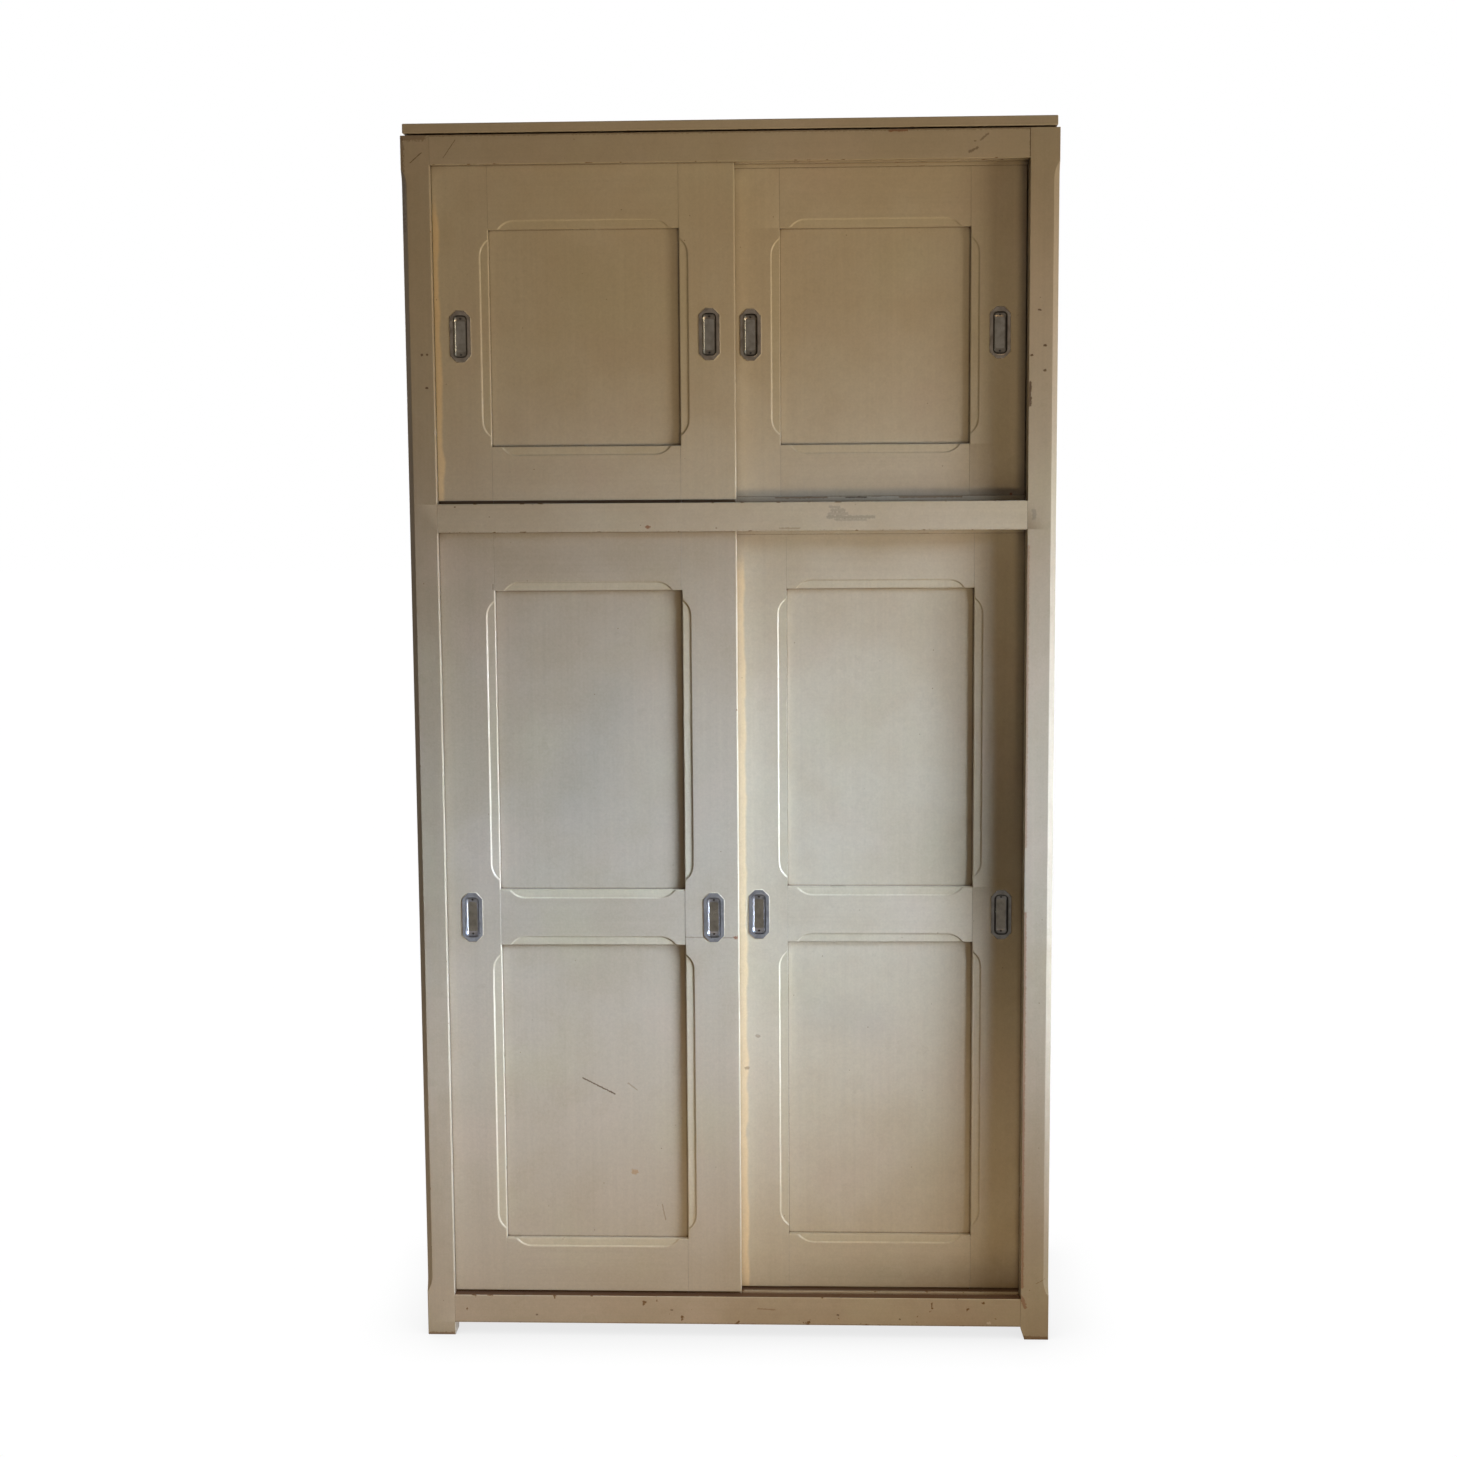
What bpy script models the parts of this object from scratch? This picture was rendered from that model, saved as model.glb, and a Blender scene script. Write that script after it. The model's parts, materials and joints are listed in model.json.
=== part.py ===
"""Tall painted cupboard with two tiers of sliding frame-and-panel doors.

Metres, +Z up, +X to the right of someone facing the doors, +Y from the front to the back.
The origin is on the floor, below the middle of the case.
"""
import math
from collections import namedtuple

import bmesh
import bpy
from mathutils import Matrix

# Case, outside sizes
case_width = 1.150
case_depth = 0.500
post_width = 0.051

# Case, heights from the floor up
foot_height = 0.024
bottom_rail_height = 0.053
lower_opening_height = 1.412
middle_rail_height = 0.051
upper_opening_height = 0.591
top_rail_height = 0.051
top_board_thickness = 0.017

# Top board, which lies on the side rails and leaves a gap over the posts and the front rail
top_gap = 0.003
top_board_inset = 0.004
top_board_arris = 0.0015
top_board_arris_steps = 2

# Stopped chamfer on the outer front edge of each front post
post_chamfer = 0.010
chamfer_tip_gap = 0.005
chamfer_runout = 0.030
chamfer_runout_steps = 5

# Corner worn off the inner side of the right front foot
worn_foot_width = 0.007
worn_foot_height = 0.021

# Door frames
door_recess = 0.014
meeting_overlap = 0.018
post_lap = 0.008
stile_width = 0.098
upper_door_bottom_rail = 0.096
upper_door_top_rail = 0.105
lower_door_bottom_rail = 0.101
lower_door_top_rail = 0.099
lock_rail_height = 0.103
lock_rail_base = 0.655
upper_right_door_ajar = 0.0095

# Door panels, held in grooves of the door frames
panel_setback = 0.010
panel_thickness = 0.007
panel_back_cheek = 0.0074
panel_groove_depth = 0.012
panel_play = 0.002
tenon_shoulder = 0.006

# Sunk margin round each panel opening, run with a round cutter and stopped before the corners
margin_width = 0.0165
margin_depth = 0.002
margin_slope = 0.0025
margin_corner = 0.016
margin_cutter_radius = 0.035
margin_cutter_steps = 15

# Tongues of the doors and the grooves that they run in
sill_gap = 0.005
head_gap = 0.006
tongue_thickness = 0.010
tongue_side_clearance = 0.001
sill_groove_depth = 0.005
head_tongue_height = 0.012
head_groove_clearance = 0.001

# Flush pulls
pull_width = 0.037
pull_height = 0.0905
pull_corner = 0.0115
pull_plate_thickness = 0.0012
pull_plate_arris = 0.0005
pull_rim_side = 0.006
pull_rim_end = 0.00825
pull_cup_corner = 0.0085
pull_cup_floor_corner = 0.0045
pull_cup_depth = 0.0085
pull_cup_slope_side = 0.00375
pull_cup_slope_end = 0.010
pull_sheet = 0.001
pull_edge_distance = 0.0455
pull_cup_rings = 7
pull_corner_steps = 5

# Running clearances between the doors and round the posts
door_passing_clearance = 0.0035
post_passing_clearance = 0.0005

# Parting beads, which stand on the rear tracks between the doors
head_bead_height = 0.0065
middle_sill_bead_height = 0.0085
bead_clearance = 0.001

# Front rails and rear tracks
rail_back_cheek = 0.0035
rail_tenon_cheek = 0.010
rail_tenon_thickness = 0.016
rail_tenon_wall = 0.004
mortise_wall = 0.004
track_ledge = 0.012
door_back_clearance = 0.004

# Sides
side_panel_setback = 0.008
side_panel_thickness = 0.006
side_panel_back_cheek = 0.0074
side_groove_depth = 0.010
side_tenon_thickness = 0.010
side_tenon_length = 0.020
side_tenon_clearance = 0.002

# Back, boards and shelf
back_panel_thickness = 0.006
back_panel_setback = 0.006
back_groove_depth = 0.010
board_thickness = 0.018
board_side_gap = 0.0007
shelf_height = 0.790
shelf_setback = 0.020
cleat_width = 0.020
cleat_height = 0.025

# Gap between pieces that touch, and how far a cutter or a joined piece reaches past a face
seat = 0.0003
overrun = 0.001

# Sizes that follow from those above
opening_width = case_width - 2 * post_width
door_width = (opening_width + meeting_overlap) / 2 - seat
door_thickness = panel_setback + panel_thickness + 2 * seat + panel_back_cheek
panel_groove_width = panel_thickness + 2 * seat
panel_opening_width = door_width - 2 * stile_width
upper_door_height = upper_opening_height - sill_gap - head_gap
lower_door_height = lower_opening_height - sill_gap - head_gap
sill_tongue_height = sill_gap + sill_groove_depth - seat
head_groove_depth = head_tongue_height + head_groove_clearance
track_groove_width = tongue_thickness + 2 * tongue_side_clearance
sill_tongue_start = (door_thickness - tongue_thickness) / 2

pull_proud = pull_plate_thickness + seat
running_gap = pull_proud + door_passing_clearance
rear_door_face = door_recess + door_thickness + running_gap
rear_door_back = rear_door_face + door_thickness
post_depth = rear_door_face - pull_proud - post_passing_clearance
board_front = rear_door_back + door_back_clearance
track_back = board_front + track_ledge

bottom_rail_top = foot_height + bottom_rail_height
middle_rail_base = bottom_rail_top + lower_opening_height
middle_rail_top = middle_rail_base + middle_rail_height
top_rail_base = middle_rail_top + upper_opening_height
post_height = top_rail_base + top_rail_height

side_panel_slot = side_panel_thickness + 2 * seat
side_rail_thickness = side_panel_setback + side_panel_slot + side_panel_back_cheek
side_tenon_shoulder = side_groove_depth + side_tenon_clearance
side_rail_length = case_depth - 2 * post_depth - 2 * seat
side_panel_inner_face = case_width / 2 - side_panel_setback - seat - side_panel_thickness
rail_tenon_length = post_width - side_rail_thickness - mortise_wall
rail_depth = door_recess + sill_tongue_start + tongue_thickness + tongue_side_clearance + rail_back_cheek
rail_tenon_base = head_groove_depth + rail_tenon_wall
rail_tenon_drop = sill_groove_depth + rail_tenon_wall
back_panel_face = case_depth - back_panel_setback - seat - back_panel_thickness
front_face = -case_depth / 2

# The three levels of rails round the case: what each front rail measures, how far the side rails and
# the rear track stand above it, whether there are doors below and above it, and how high the parting
# beads stand below and above it. On the bottom level the bead is worn away.
Level = namedtuple("Level", "base height rise doors_below doors_above bead_below bead_above")
levels = {
    "bottom": Level(foot_height, bottom_rail_height, 0, False, True, 0, 0),
    "middle": Level(middle_rail_base, middle_rail_height, 0, True, True, head_bead_height,
                    middle_sill_bead_height),
    "top": Level(top_rail_base, top_rail_height, top_gap, True, False, head_bead_height, 0),
}


# Materials
def make_material(name, colour, roughness, metallic):
    material = bpy.data.materials.new(name)
    material.use_nodes = True
    shader = material.node_tree.nodes["Principled BSDF"]
    shader.inputs["Base Color"].default_value = (*colour, 1.0)
    shader.inputs["Roughness"].default_value = roughness
    shader.inputs["Metallic"].default_value = metallic
    return material


# Mesh helpers
def finish_mesh(name, shape):
    """Turn a bmesh into a mesh whose faces point out."""
    bmesh.ops.recalc_face_normals(shape, faces=shape.faces)
    mesh = bpy.data.meshes.new(name)
    shape.to_mesh(mesh)
    shape.free()
    return mesh


def loft(loops):
    """A closed solid through loops of points, all with the same count, with flat ends."""
    shape = bmesh.new()
    rings = [[shape.verts.new(point) for point in loop] for loop in loops]
    count = len(rings[0])
    for near, far in zip(rings, rings[1:]):
        for index in range(count):
            after = (index + 1) % count
            shape.faces.new((near[index], near[after], far[after], far[index]))
    shape.faces.new(rings[0])
    shape.faces.new(rings[-1])
    return finish_mesh("loft", shape)


def prism(outline, axis, low, high):
    """Extrude an outline along X (from y, z), Y (from x, z) or Z (from x, y)."""
    def place(point, height):
        coordinates = list(point)
        coordinates.insert("XYZ".index(axis), height)
        return coordinates
    return loft([[place(point, height) for point in outline] for height in (low, high)])


def box(low, high):
    outline = [(low[0], low[1]), (high[0], low[1]), (high[0], high[1]), (low[0], high[1])]
    return prism(outline, "Z", low[2], high[2])


def combine(base, tool, operation):
    """Boolean of two meshes, as a new mesh."""
    base_object = bpy.data.objects.new("base", base)
    tool_object = bpy.data.objects.new("tool", tool)
    for temporary in (base_object, tool_object):
        bpy.context.collection.objects.link(temporary)
    modifier = base_object.modifiers.new("combine", "BOOLEAN")
    modifier.operation = operation
    modifier.object = tool_object
    graph = bpy.context.evaluated_depsgraph_get()
    result = bpy.data.meshes.new_from_object(base_object.evaluated_get(graph))
    for temporary in (base_object, tool_object):
        bpy.data.objects.remove(temporary)
    return result


def cut(mesh, *tools):
    for tool in tools:
        mesh = combine(mesh, tool, "DIFFERENCE")
    return mesh


def join(mesh, *tools):
    for tool in tools:
        mesh = combine(mesh, tool, "UNION")
    return mesh


def mirrored(mesh, axis):
    """A copy of the mesh turned over about a plane through its origin."""
    copy = mesh.copy()
    direction = (axis == "X", axis == "Y", axis == "Z")
    copy.transform(Matrix.Scale(-1, 4, direction))
    copy.flip_normals()
    return copy


def add_piece(name, mesh, location, material, parent=None):
    mesh = mesh.copy()
    mesh.name = name
    mesh.materials.clear()
    mesh.materials.append(material)
    piece = bpy.data.objects.new(name, mesh)
    bpy.context.collection.objects.link(piece)
    piece.location = location
    piece.parent = parent
    return piece


# Outlines
def stadium(width, height, steps):
    """Points of an upright slot with round ends, counted round from its right side."""
    radius = width / 2
    rise = height / 2 - radius
    points = []
    for side in (1, -1):
        for step in range(steps + 1):
            angle = math.pi * step / steps
            points.append((side * radius * math.cos(angle), side * (rise + radius * math.sin(angle))))
    return points


def rounded_rectangle(width, height, radius, steps):
    """Points of an upright rectangle with round corners, counted round from its right side."""
    centres = [(width / 2 - radius, height / 2 - radius), (radius - width / 2, height / 2 - radius),
               (radius - width / 2, radius - height / 2), (width / 2 - radius, radius - height / 2)]
    points = []
    for quarter, (x, z) in enumerate(centres):
        for step in range(steps + 1):
            angle = math.pi / 2 * (quarter + step / steps)
            points.append((x + radius * math.cos(angle), z + radius * math.sin(angle)))
    return points


def chamfered_rectangle(width, height, corner):
    """Points of an upright rectangle with its four corners cut off."""
    x = width / 2
    z = height / 2
    return [(x, corner - z), (x, z - corner), (x - corner, z), (corner - x, z),
            (-x, z - corner), (-x, corner - z), (corner - x, -z), (x - corner, -z)]


def at_depth(outline, y):
    return [(x, y, z) for x, z in outline]


# Door frame members. A door's own origin is the middle of its lower shoulder, on its front face.
def edge_points(kind, level, outward):
    """One edge of a door member's section (y, z), from its front face to its back."""
    if kind == "sill_tongue":
        tongue_end = sill_tongue_start + tongue_thickness
        reach = level + outward * sill_tongue_height
        return [(0, level), (sill_tongue_start, level), (sill_tongue_start, reach),
                (tongue_end, reach), (tongue_end, level), (door_thickness, level)]
    if kind == "head_tongue":
        reach = level + outward * head_tongue_height
        return [(0, reach), (tongue_thickness, reach), (tongue_thickness, level), (door_thickness, level)]
    groove_end = panel_setback + panel_groove_width
    floor = level - outward * panel_groove_depth
    return [(0, level), (panel_setback, level), (panel_setback, floor),
            (groove_end, floor), (groove_end, level), (door_thickness, level)]


def frame_outline(height, lower_edge, upper_edge):
    """Section (y, z) of a door member, with a tongue or a panel groove along each edge."""
    return edge_points(lower_edge, 0, -1) + edge_points(upper_edge, height, 1)[::-1]


def margin_cutter(start, end, along, edge, inward):
    """The path of the round cutter along one side of a panel opening.

    start and end are the opening's corners along that side, edge is the side's own level, and inward
    is the direction from the side into the opening. The cutter tapers, so the margin's wall slopes.
    """
    centre = edge + inward * (margin_cutter_radius - margin_width)
    half_chord = math.sqrt(margin_cutter_radius ** 2 - (margin_cutter_radius - margin_width) ** 2)
    span = end - start - 2 * (margin_corner + half_chord)
    middle = (start + end) / 2

    def section(depth):
        radius = margin_cutter_radius - margin_slope * depth / margin_depth
        outline = stadium(2 * radius, span + 2 * radius, margin_cutter_steps)
        if along == "Z":
            return [(x + centre, depth, z + middle) for x, z in outline]
        return [(z + middle, depth, x + centre) for x, z in outline]

    return loft([section(-overrun), section(margin_depth)])


def make_stile(height, panel_openings, pull_level):
    """A left stile, with its outer edge at x = 0 and its panel groove on the other edge."""
    outline = frame_outline(height, "sill_tongue", "head_tongue")
    stile = prism(outline, "X", 0, stile_width)
    groove_low = (stile_width - panel_groove_depth, panel_setback, tenon_shoulder - seat)
    groove_high = (stile_width + overrun, panel_setback + panel_groove_width, height - tenon_shoulder + seat)
    stile = cut(stile, box(groove_low, groove_high))
    for base, top in panel_openings:
        stile = cut(stile, margin_cutter(base, top, "Z", stile_width, 1))
    pocket = pull_cup_outline(pull_sheet + seat)
    placed = [(x + pull_edge_distance, z + pull_level) for x, z in pocket]
    return cut(stile, prism(placed, "Y", -overrun, pull_cup_depth - pull_proud + pull_sheet + seat))


def make_door_rail(height, lower_edge, upper_edge):
    """A door rail centred on x = 0, with its lower edge at z = 0 and a stub tenon at each end."""
    half = panel_opening_width / 2 - seat
    rail = prism(frame_outline(height, lower_edge, upper_edge), "X", -half, half)
    panel_below = lower_edge == "panel_groove"
    panel_above = upper_edge == "panel_groove"
    tenon_base = panel_groove_depth if panel_below else tenon_shoulder
    tenon_top = height - (panel_groove_depth if panel_above else tenon_shoulder)
    for side in (-1, 1):
        ends = sorted((side * (half - overrun), side * (half + panel_groove_depth)))
        tenon = box((ends[0], panel_setback + seat, tenon_base),
                    (ends[1], panel_setback + seat + panel_thickness, tenon_top))
        rail = join(rail, tenon)
    start = -panel_opening_width / 2
    if panel_below:
        rail = cut(rail, margin_cutter(start, -start, "X", 0, -1))
    if panel_above:
        rail = cut(rail, margin_cutter(start, -start, "X", height, 1))
    return rail


def make_door_panel(opening_height):
    """A panel centred on x = 0, with its opening's lower edge at z = 0."""
    reach = panel_groove_depth - panel_play
    half = panel_opening_width / 2 + reach
    front = panel_setback + seat
    return box((-half, front, -reach), (half, front + panel_thickness, opening_height + reach))


# Flush pull. Its origin is on the stile's face, at the middle of its plate.
def pull_cup_outline(grow):
    """The mouth of the cup, made larger all round."""
    width = pull_width - 2 * pull_rim_side + 2 * grow
    height = pull_height - 2 * pull_rim_end + 2 * grow
    return rounded_rectangle(width, height, pull_cup_corner + grow, pull_corner_steps)


def cup_section(share):
    """The cup's outline at a share of the way from its mouth to its floor."""
    width = pull_width - 2 * pull_rim_side - 2 * pull_cup_slope_side * share
    height = pull_height - 2 * pull_rim_end - 2 * pull_cup_slope_end * share
    radius = pull_cup_corner + (pull_cup_floor_corner - pull_cup_corner) * share
    return rounded_rectangle(width, height, radius, pull_corner_steps)


def make_pull():
    front = -pull_proud
    face_width = pull_width - 2 * pull_plate_arris
    face_height = pull_height - 2 * pull_plate_arris
    face = chamfered_rectangle(face_width, face_height, pull_corner)
    rim = chamfered_rectangle(pull_width, pull_height, pull_corner)
    plate = loft([at_depth(face, front), at_depth(rim, front + pull_plate_arris), at_depth(rim, -seat)])
    back = front + pull_cup_depth + pull_sheet
    shell = prism(pull_cup_outline(pull_sheet), "Y", front + pull_plate_thickness / 2, back)
    pull = join(plate, shell)
    hollow = [at_depth(cup_section(0), front - overrun)]
    for ring in range(pull_cup_rings):
        share = ring / (pull_cup_rings - 1)
        fall = (1 - math.cos(math.pi * share)) / 2
        lip = pull_plate_arris / 2
        hollow.append(at_depth(cup_section(share), front + lip + (pull_cup_depth - lip) * fall))
    return cut(pull, loft(hollow))


# Doors
def make_door_set(height, rails, pull_level):
    """The meshes of one door with their places, in the door's own frame.

    rails lists each rail from the bottom up as its name, its base and its height.
    """
    openings = [(low[1] + low[2], high[1]) for low, high in zip(rails, rails[1:])]
    half = door_width / 2
    left_stile = make_stile(height, openings, pull_level)
    pull = make_pull()
    pull_x = half - pull_edge_distance
    pieces = [
        ("left_stile", left_stile, (-half, 0, 0), "paint"),
        ("right_stile", mirrored(left_stile, "X"), (half, 0, 0), "paint"),
        ("left_pull", pull, (-pull_x, 0, pull_level), "metal"),
        ("right_pull", pull, (pull_x, 0, pull_level), "metal"),
    ]
    for number, (name, base, rail_height) in enumerate(rails):
        lower_edge = "sill_tongue" if number == 0 else "panel_groove"
        upper_edge = "head_tongue" if number == len(rails) - 1 else "panel_groove"
        rail = make_door_rail(rail_height, lower_edge, upper_edge)
        pieces.append((name, rail, (0, 0, base), "paint"))
    panel_names = ["panel"] if len(openings) == 1 else ["lower_panel", "upper_panel"]
    for name, (base, top) in zip(panel_names, openings):
        pieces.append((name, make_door_panel(top - base), (0, 0, base), "paint"))
    return pieces


def add_door(name, pieces, centre_x, face_depth, shoulder_z, materials):
    """Place one door under an empty on its sliding axis."""
    slide = bpy.data.objects.new(name + "_slide", None)
    bpy.context.collection.objects.link(slide)
    slide.location = (centre_x, front_face + face_depth, shoulder_z)
    for piece_name, mesh, location, material in pieces:
        add_piece(name + "_" + piece_name, mesh, location, materials[material], slide)


def add_doors(materials):
    upper_rails = [
        ("bottom_rail", 0, upper_door_bottom_rail),
        ("top_rail", upper_door_height - upper_door_top_rail, upper_door_top_rail),
    ]
    lower_rails = [
        ("bottom_rail", 0, lower_door_bottom_rail),
        ("lock_rail", lock_rail_base, lock_rail_height),
        ("top_rail", lower_door_height - lower_door_top_rail, lower_door_top_rail),
    ]
    upper_set = make_door_set(upper_door_height, upper_rails, upper_door_height / 2)
    lower_set = make_door_set(lower_door_height, lower_rails, lock_rail_base + lock_rail_height / 2)
    left_x = -opening_width / 2 + seat + door_width / 2
    right_x = opening_width / 2 + post_lap - door_width / 2
    upper_z = middle_rail_top + sill_gap
    lower_z = bottom_rail_top + sill_gap
    add_door("upper_left_door", upper_set, left_x, door_recess, upper_z, materials)
    ajar_x = right_x - upper_right_door_ajar
    add_door("upper_right_door", upper_set, ajar_x, rear_door_face, upper_z, materials)
    add_door("lower_left_door", lower_set, left_x, door_recess, lower_z, materials)
    add_door("lower_right_door", lower_set, right_x, rear_door_face, lower_z, materials)


# Posts. A post's origin is its outer corner at the floor, on the front or the back of the case.
def chamfer_cutter():
    """The scoop of a round cutter that chamfers the edge x = y = 0 and runs out at both ends."""
    depth = post_chamfer / math.sqrt(2)
    radius = (chamfer_runout ** 2 + depth ** 2) / (2 * depth)
    low_tip = bottom_rail_top + chamfer_tip_gap
    high_tip = top_rail_base - chamfer_tip_gap

    def runout(tip, direction):
        points = []
        for step in range(chamfer_runout_steps + 1):
            travel = chamfer_runout * step / chamfer_runout_steps
            away = chamfer_runout - travel
            points.append((depth - radius + math.sqrt(radius ** 2 - away ** 2), tip + direction * travel))
        return points

    outside = [(-post_chamfer, high_tip), (-post_chamfer, low_tip)]
    outline = runout(low_tip, 1) + runout(high_tip, -1)[::-1] + outside
    scoop = prism(outline, "X", -post_chamfer, post_chamfer)
    scoop.transform(Matrix.Rotation(math.radians(-45), 4, "Z"))
    return scoop


def side_joint_cutters():
    """Mortises of the side rails and grooves of the side panels, in a left front post's back face."""
    cutters = []
    tenon_start = (side_rail_thickness - side_tenon_thickness) / 2 - seat
    tenon_end = tenon_start + side_tenon_thickness + 2 * seat
    for level in levels.values():
        tenon_base = level.base + side_tenon_shoulder
        tenon_top = level.base + level.height - side_tenon_shoulder
        low = (tenon_start, post_depth - side_tenon_length, tenon_base - seat)
        high = (tenon_end, post_depth + overrun, tenon_top + seat)
        cutters.append(box(low, high))
    for base, top in ((bottom_rail_top, middle_rail_base), (middle_rail_top, top_rail_base)):
        low = (side_panel_setback, post_depth - side_groove_depth, base - side_groove_depth)
        high = (side_panel_setback + side_panel_slot, post_depth + overrun, top + side_groove_depth)
        cutters.append(box(low, high))
    return cutters


def make_front_post():
    """The left front post; x runs inward and y runs back."""
    post = box((0, 0, 0), (post_width, post_depth, post_height))
    post = cut(post, chamfer_cutter(), *side_joint_cutters())
    for level in levels.values():
        low = (post_width - rail_tenon_length, rail_tenon_cheek - seat, level.base + rail_tenon_base - seat)
        high = (post_width + overrun, rail_tenon_cheek + rail_tenon_thickness + seat,
                level.base + level.height - rail_tenon_drop + seat)
        post = cut(post, box(low, high))
    return post


def worn_foot_cutter():
    """A wedge that takes the inner corner off a left front post's foot."""
    slope = worn_foot_width / worn_foot_height
    outline = [(post_width + slope * overrun, worn_foot_height + overrun),
               (post_width - worn_foot_width - slope * overrun, -overrun),
               (post_width + overrun, -overrun)]
    return prism(outline, "Y", -overrun, post_depth + overrun)


def make_rear_post():
    """The left rear post, drawn as the mirror image of a front one: y runs forward from its back."""
    post = box((0, 0, 0), (post_width, post_depth, post_height))
    post = cut(post, *side_joint_cutters())
    groove_low = (post_width - back_groove_depth, back_panel_setback, foot_height)
    groove_face = back_panel_setback + back_panel_thickness + 2 * seat
    groove_high = (post_width + overrun, groove_face, post_height + overrun)
    return mirrored(cut(post, box(groove_low, groove_high)), "Y")


def add_post_pair(name, left, right, corner_y, material):
    corner_x = case_width / 2
    add_piece(name + "_left_post", left, (-corner_x, corner_y, 0), material)
    add_piece(name + "_right_post", mirrored(right, "X"), (corner_x, corner_y, 0), material)


def add_posts(materials):
    front = make_front_post()
    rear = make_rear_post()
    add_post_pair("front", front, cut(front, worn_foot_cutter()), front_face, materials["paint"])
    add_post_pair("rear", rear, rear, -front_face, materials["paint"])


# Front rails, and the rear tracks behind them. Their origin is the middle of their base, at the front.
def door_grooves(face_depth):
    """Where the sill groove and the head groove of a door start, for the depth of the door's face."""
    return face_depth + sill_tongue_start - tongue_side_clearance, face_depth - tongue_side_clearance


def make_front_rail(level):
    """A rail between the front posts, with door grooves along it and a tenon at each end."""
    half = opening_width / 2 - seat
    sill_start, head_start = door_grooves(door_recess)
    rail = box((-half, 0, 0), (half, rail_depth, level.height))
    if level.doors_below:
        low = (-opening_width, head_start, -overrun)
        high = (opening_width, head_start + track_groove_width, head_groove_depth)
        rail = cut(rail, box(low, high))
    if level.doors_above:
        low = (-opening_width, sill_start, level.height - sill_groove_depth)
        high = (opening_width, sill_start + track_groove_width, level.height + overrun)
        rail = cut(rail, box(low, high))
    for side in (-1, 1):
        ends = sorted((side * (half - overrun), side * (half + rail_tenon_length)))
        tenon = box((ends[0], rail_tenon_cheek, rail_tenon_base),
                    (ends[1], rail_tenon_cheek + rail_tenon_thickness, level.height - rail_tenon_drop))
        rail = join(rail, tenon)
    return rail


def make_rear_track(level):
    """A batten behind a front rail, notched round the posts, whose stopped grooves stop the rear doors."""
    half = case_width / 2 - side_rail_thickness - seat
    between_posts = opening_width / 2 - seat
    groove_half = opening_width / 2 + post_lap + seat
    height = level.height + level.rise
    front = rail_depth + seat
    behind_post = post_depth + seat
    sill_start, head_start = door_grooves(rear_door_face)
    outline = [(-between_posts, front), (between_posts, front),
               (between_posts, behind_post), (half, behind_post),
               (half, track_back), (-half, track_back),
               (-half, behind_post), (-between_posts, behind_post)]
    track = prism(outline, "Z", 0, height)
    if level.doors_below:
        head_end = head_start + track_groove_width
        low = (-groove_half, head_start, -overrun)
        track = cut(track, box(low, (groove_half, head_end, head_groove_depth)))
        for side in (-1, 1):
            ends = sorted((side * between_posts, side * groove_half))
            track = cut(track, box((ends[0], front, -overrun), (ends[1], head_end, head_groove_depth)))
    if level.doors_above:
        low = (-groove_half, sill_start, height - sill_groove_depth)
        high = (groove_half, sill_start + track_groove_width, height + overrun)
        track = cut(track, box(low, high))
    bead_front = rear_door_face - running_gap + bead_clearance
    bead_back = rear_door_face - bead_clearance
    if level.bead_below:
        low = (-between_posts, bead_front, -level.bead_below)
        track = join(track, box(low, (between_posts, bead_back, overrun)))
    if level.bead_above:
        low = (-between_posts, bead_front, height - overrun)
        track = join(track, box(low, (between_posts, bead_back, height + level.bead_above)))
    return track


def add_front(materials):
    for name, level in levels.items():
        place = (0, front_face, level.base)
        add_piece(name + "_front_rail", make_front_rail(level), place, materials["paint"])
        add_piece(name + "_rear_track", make_rear_track(level), place, materials["paint"])


# Sides. A side piece's origin is on the case's left face, at the middle of the depth.
def make_side_rail(level):
    """A left side rail between a front and a rear post, with grooves for the side panels."""
    half = side_rail_length / 2
    top = level.height + level.rise
    start = side_panel_setback
    end = start + side_panel_slot
    rail = box((0, -half, 0), (side_rail_thickness, half, top))
    if level.doors_below:
        rail = cut(rail, box((start, -case_depth, -overrun), (end, case_depth, side_groove_depth)))
    if level.doors_above:
        floor = top - side_groove_depth
        rail = cut(rail, box((start, -case_depth, floor), (end, case_depth, top + overrun)))
    tenon_start = (side_rail_thickness - side_tenon_thickness) / 2
    for side in (-1, 1):
        ends = sorted((side * (half - overrun), side * (half + side_tenon_length)))
        tenon = box((tenon_start, ends[0], side_tenon_shoulder),
                    (tenon_start + side_tenon_thickness, ends[1], level.height - side_tenon_shoulder))
        rail = join(rail, tenon)
    return rail


def make_side_panel(opening_height):
    """A left side panel, with its opening's lower edge at z = 0."""
    reach = side_groove_depth - seat
    half = side_rail_length / 2 + seat + reach
    start = side_panel_setback + seat
    return box((start, -half, -reach), (start + side_panel_thickness, half, opening_height + reach))


def add_sides(materials):
    pieces = []
    for name, level in levels.items():
        pieces.append((name + "_side_rail", make_side_rail(level), level.base))
    pieces.append(("lower_side_panel", make_side_panel(lower_opening_height), bottom_rail_top))
    pieces.append(("upper_side_panel", make_side_panel(upper_opening_height), middle_rail_top))
    for name, mesh, base in pieces:
        add_piece("left_" + name, mesh, (-case_width / 2, 0, base), materials["paint"])
        add_piece("right_" + name, mirrored(mesh, "X"), (case_width / 2, 0, base), materials["paint"])


# Back, boards and shelf
def make_board(front_depth):
    """A board from side to side, notched round the rear posts; y is measured from the case's front."""
    half = side_panel_inner_face - board_side_gap
    notch_x = opening_width / 2 - seat
    notch_y = case_depth - post_depth - seat
    back = back_panel_face - seat
    outline = [(-half, front_depth), (half, front_depth), (half, notch_y), (notch_x, notch_y),
               (notch_x, back), (-notch_x, back), (-notch_x, notch_y), (-half, notch_y)]
    return prism(outline, "Z", 0, board_thickness)


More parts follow.
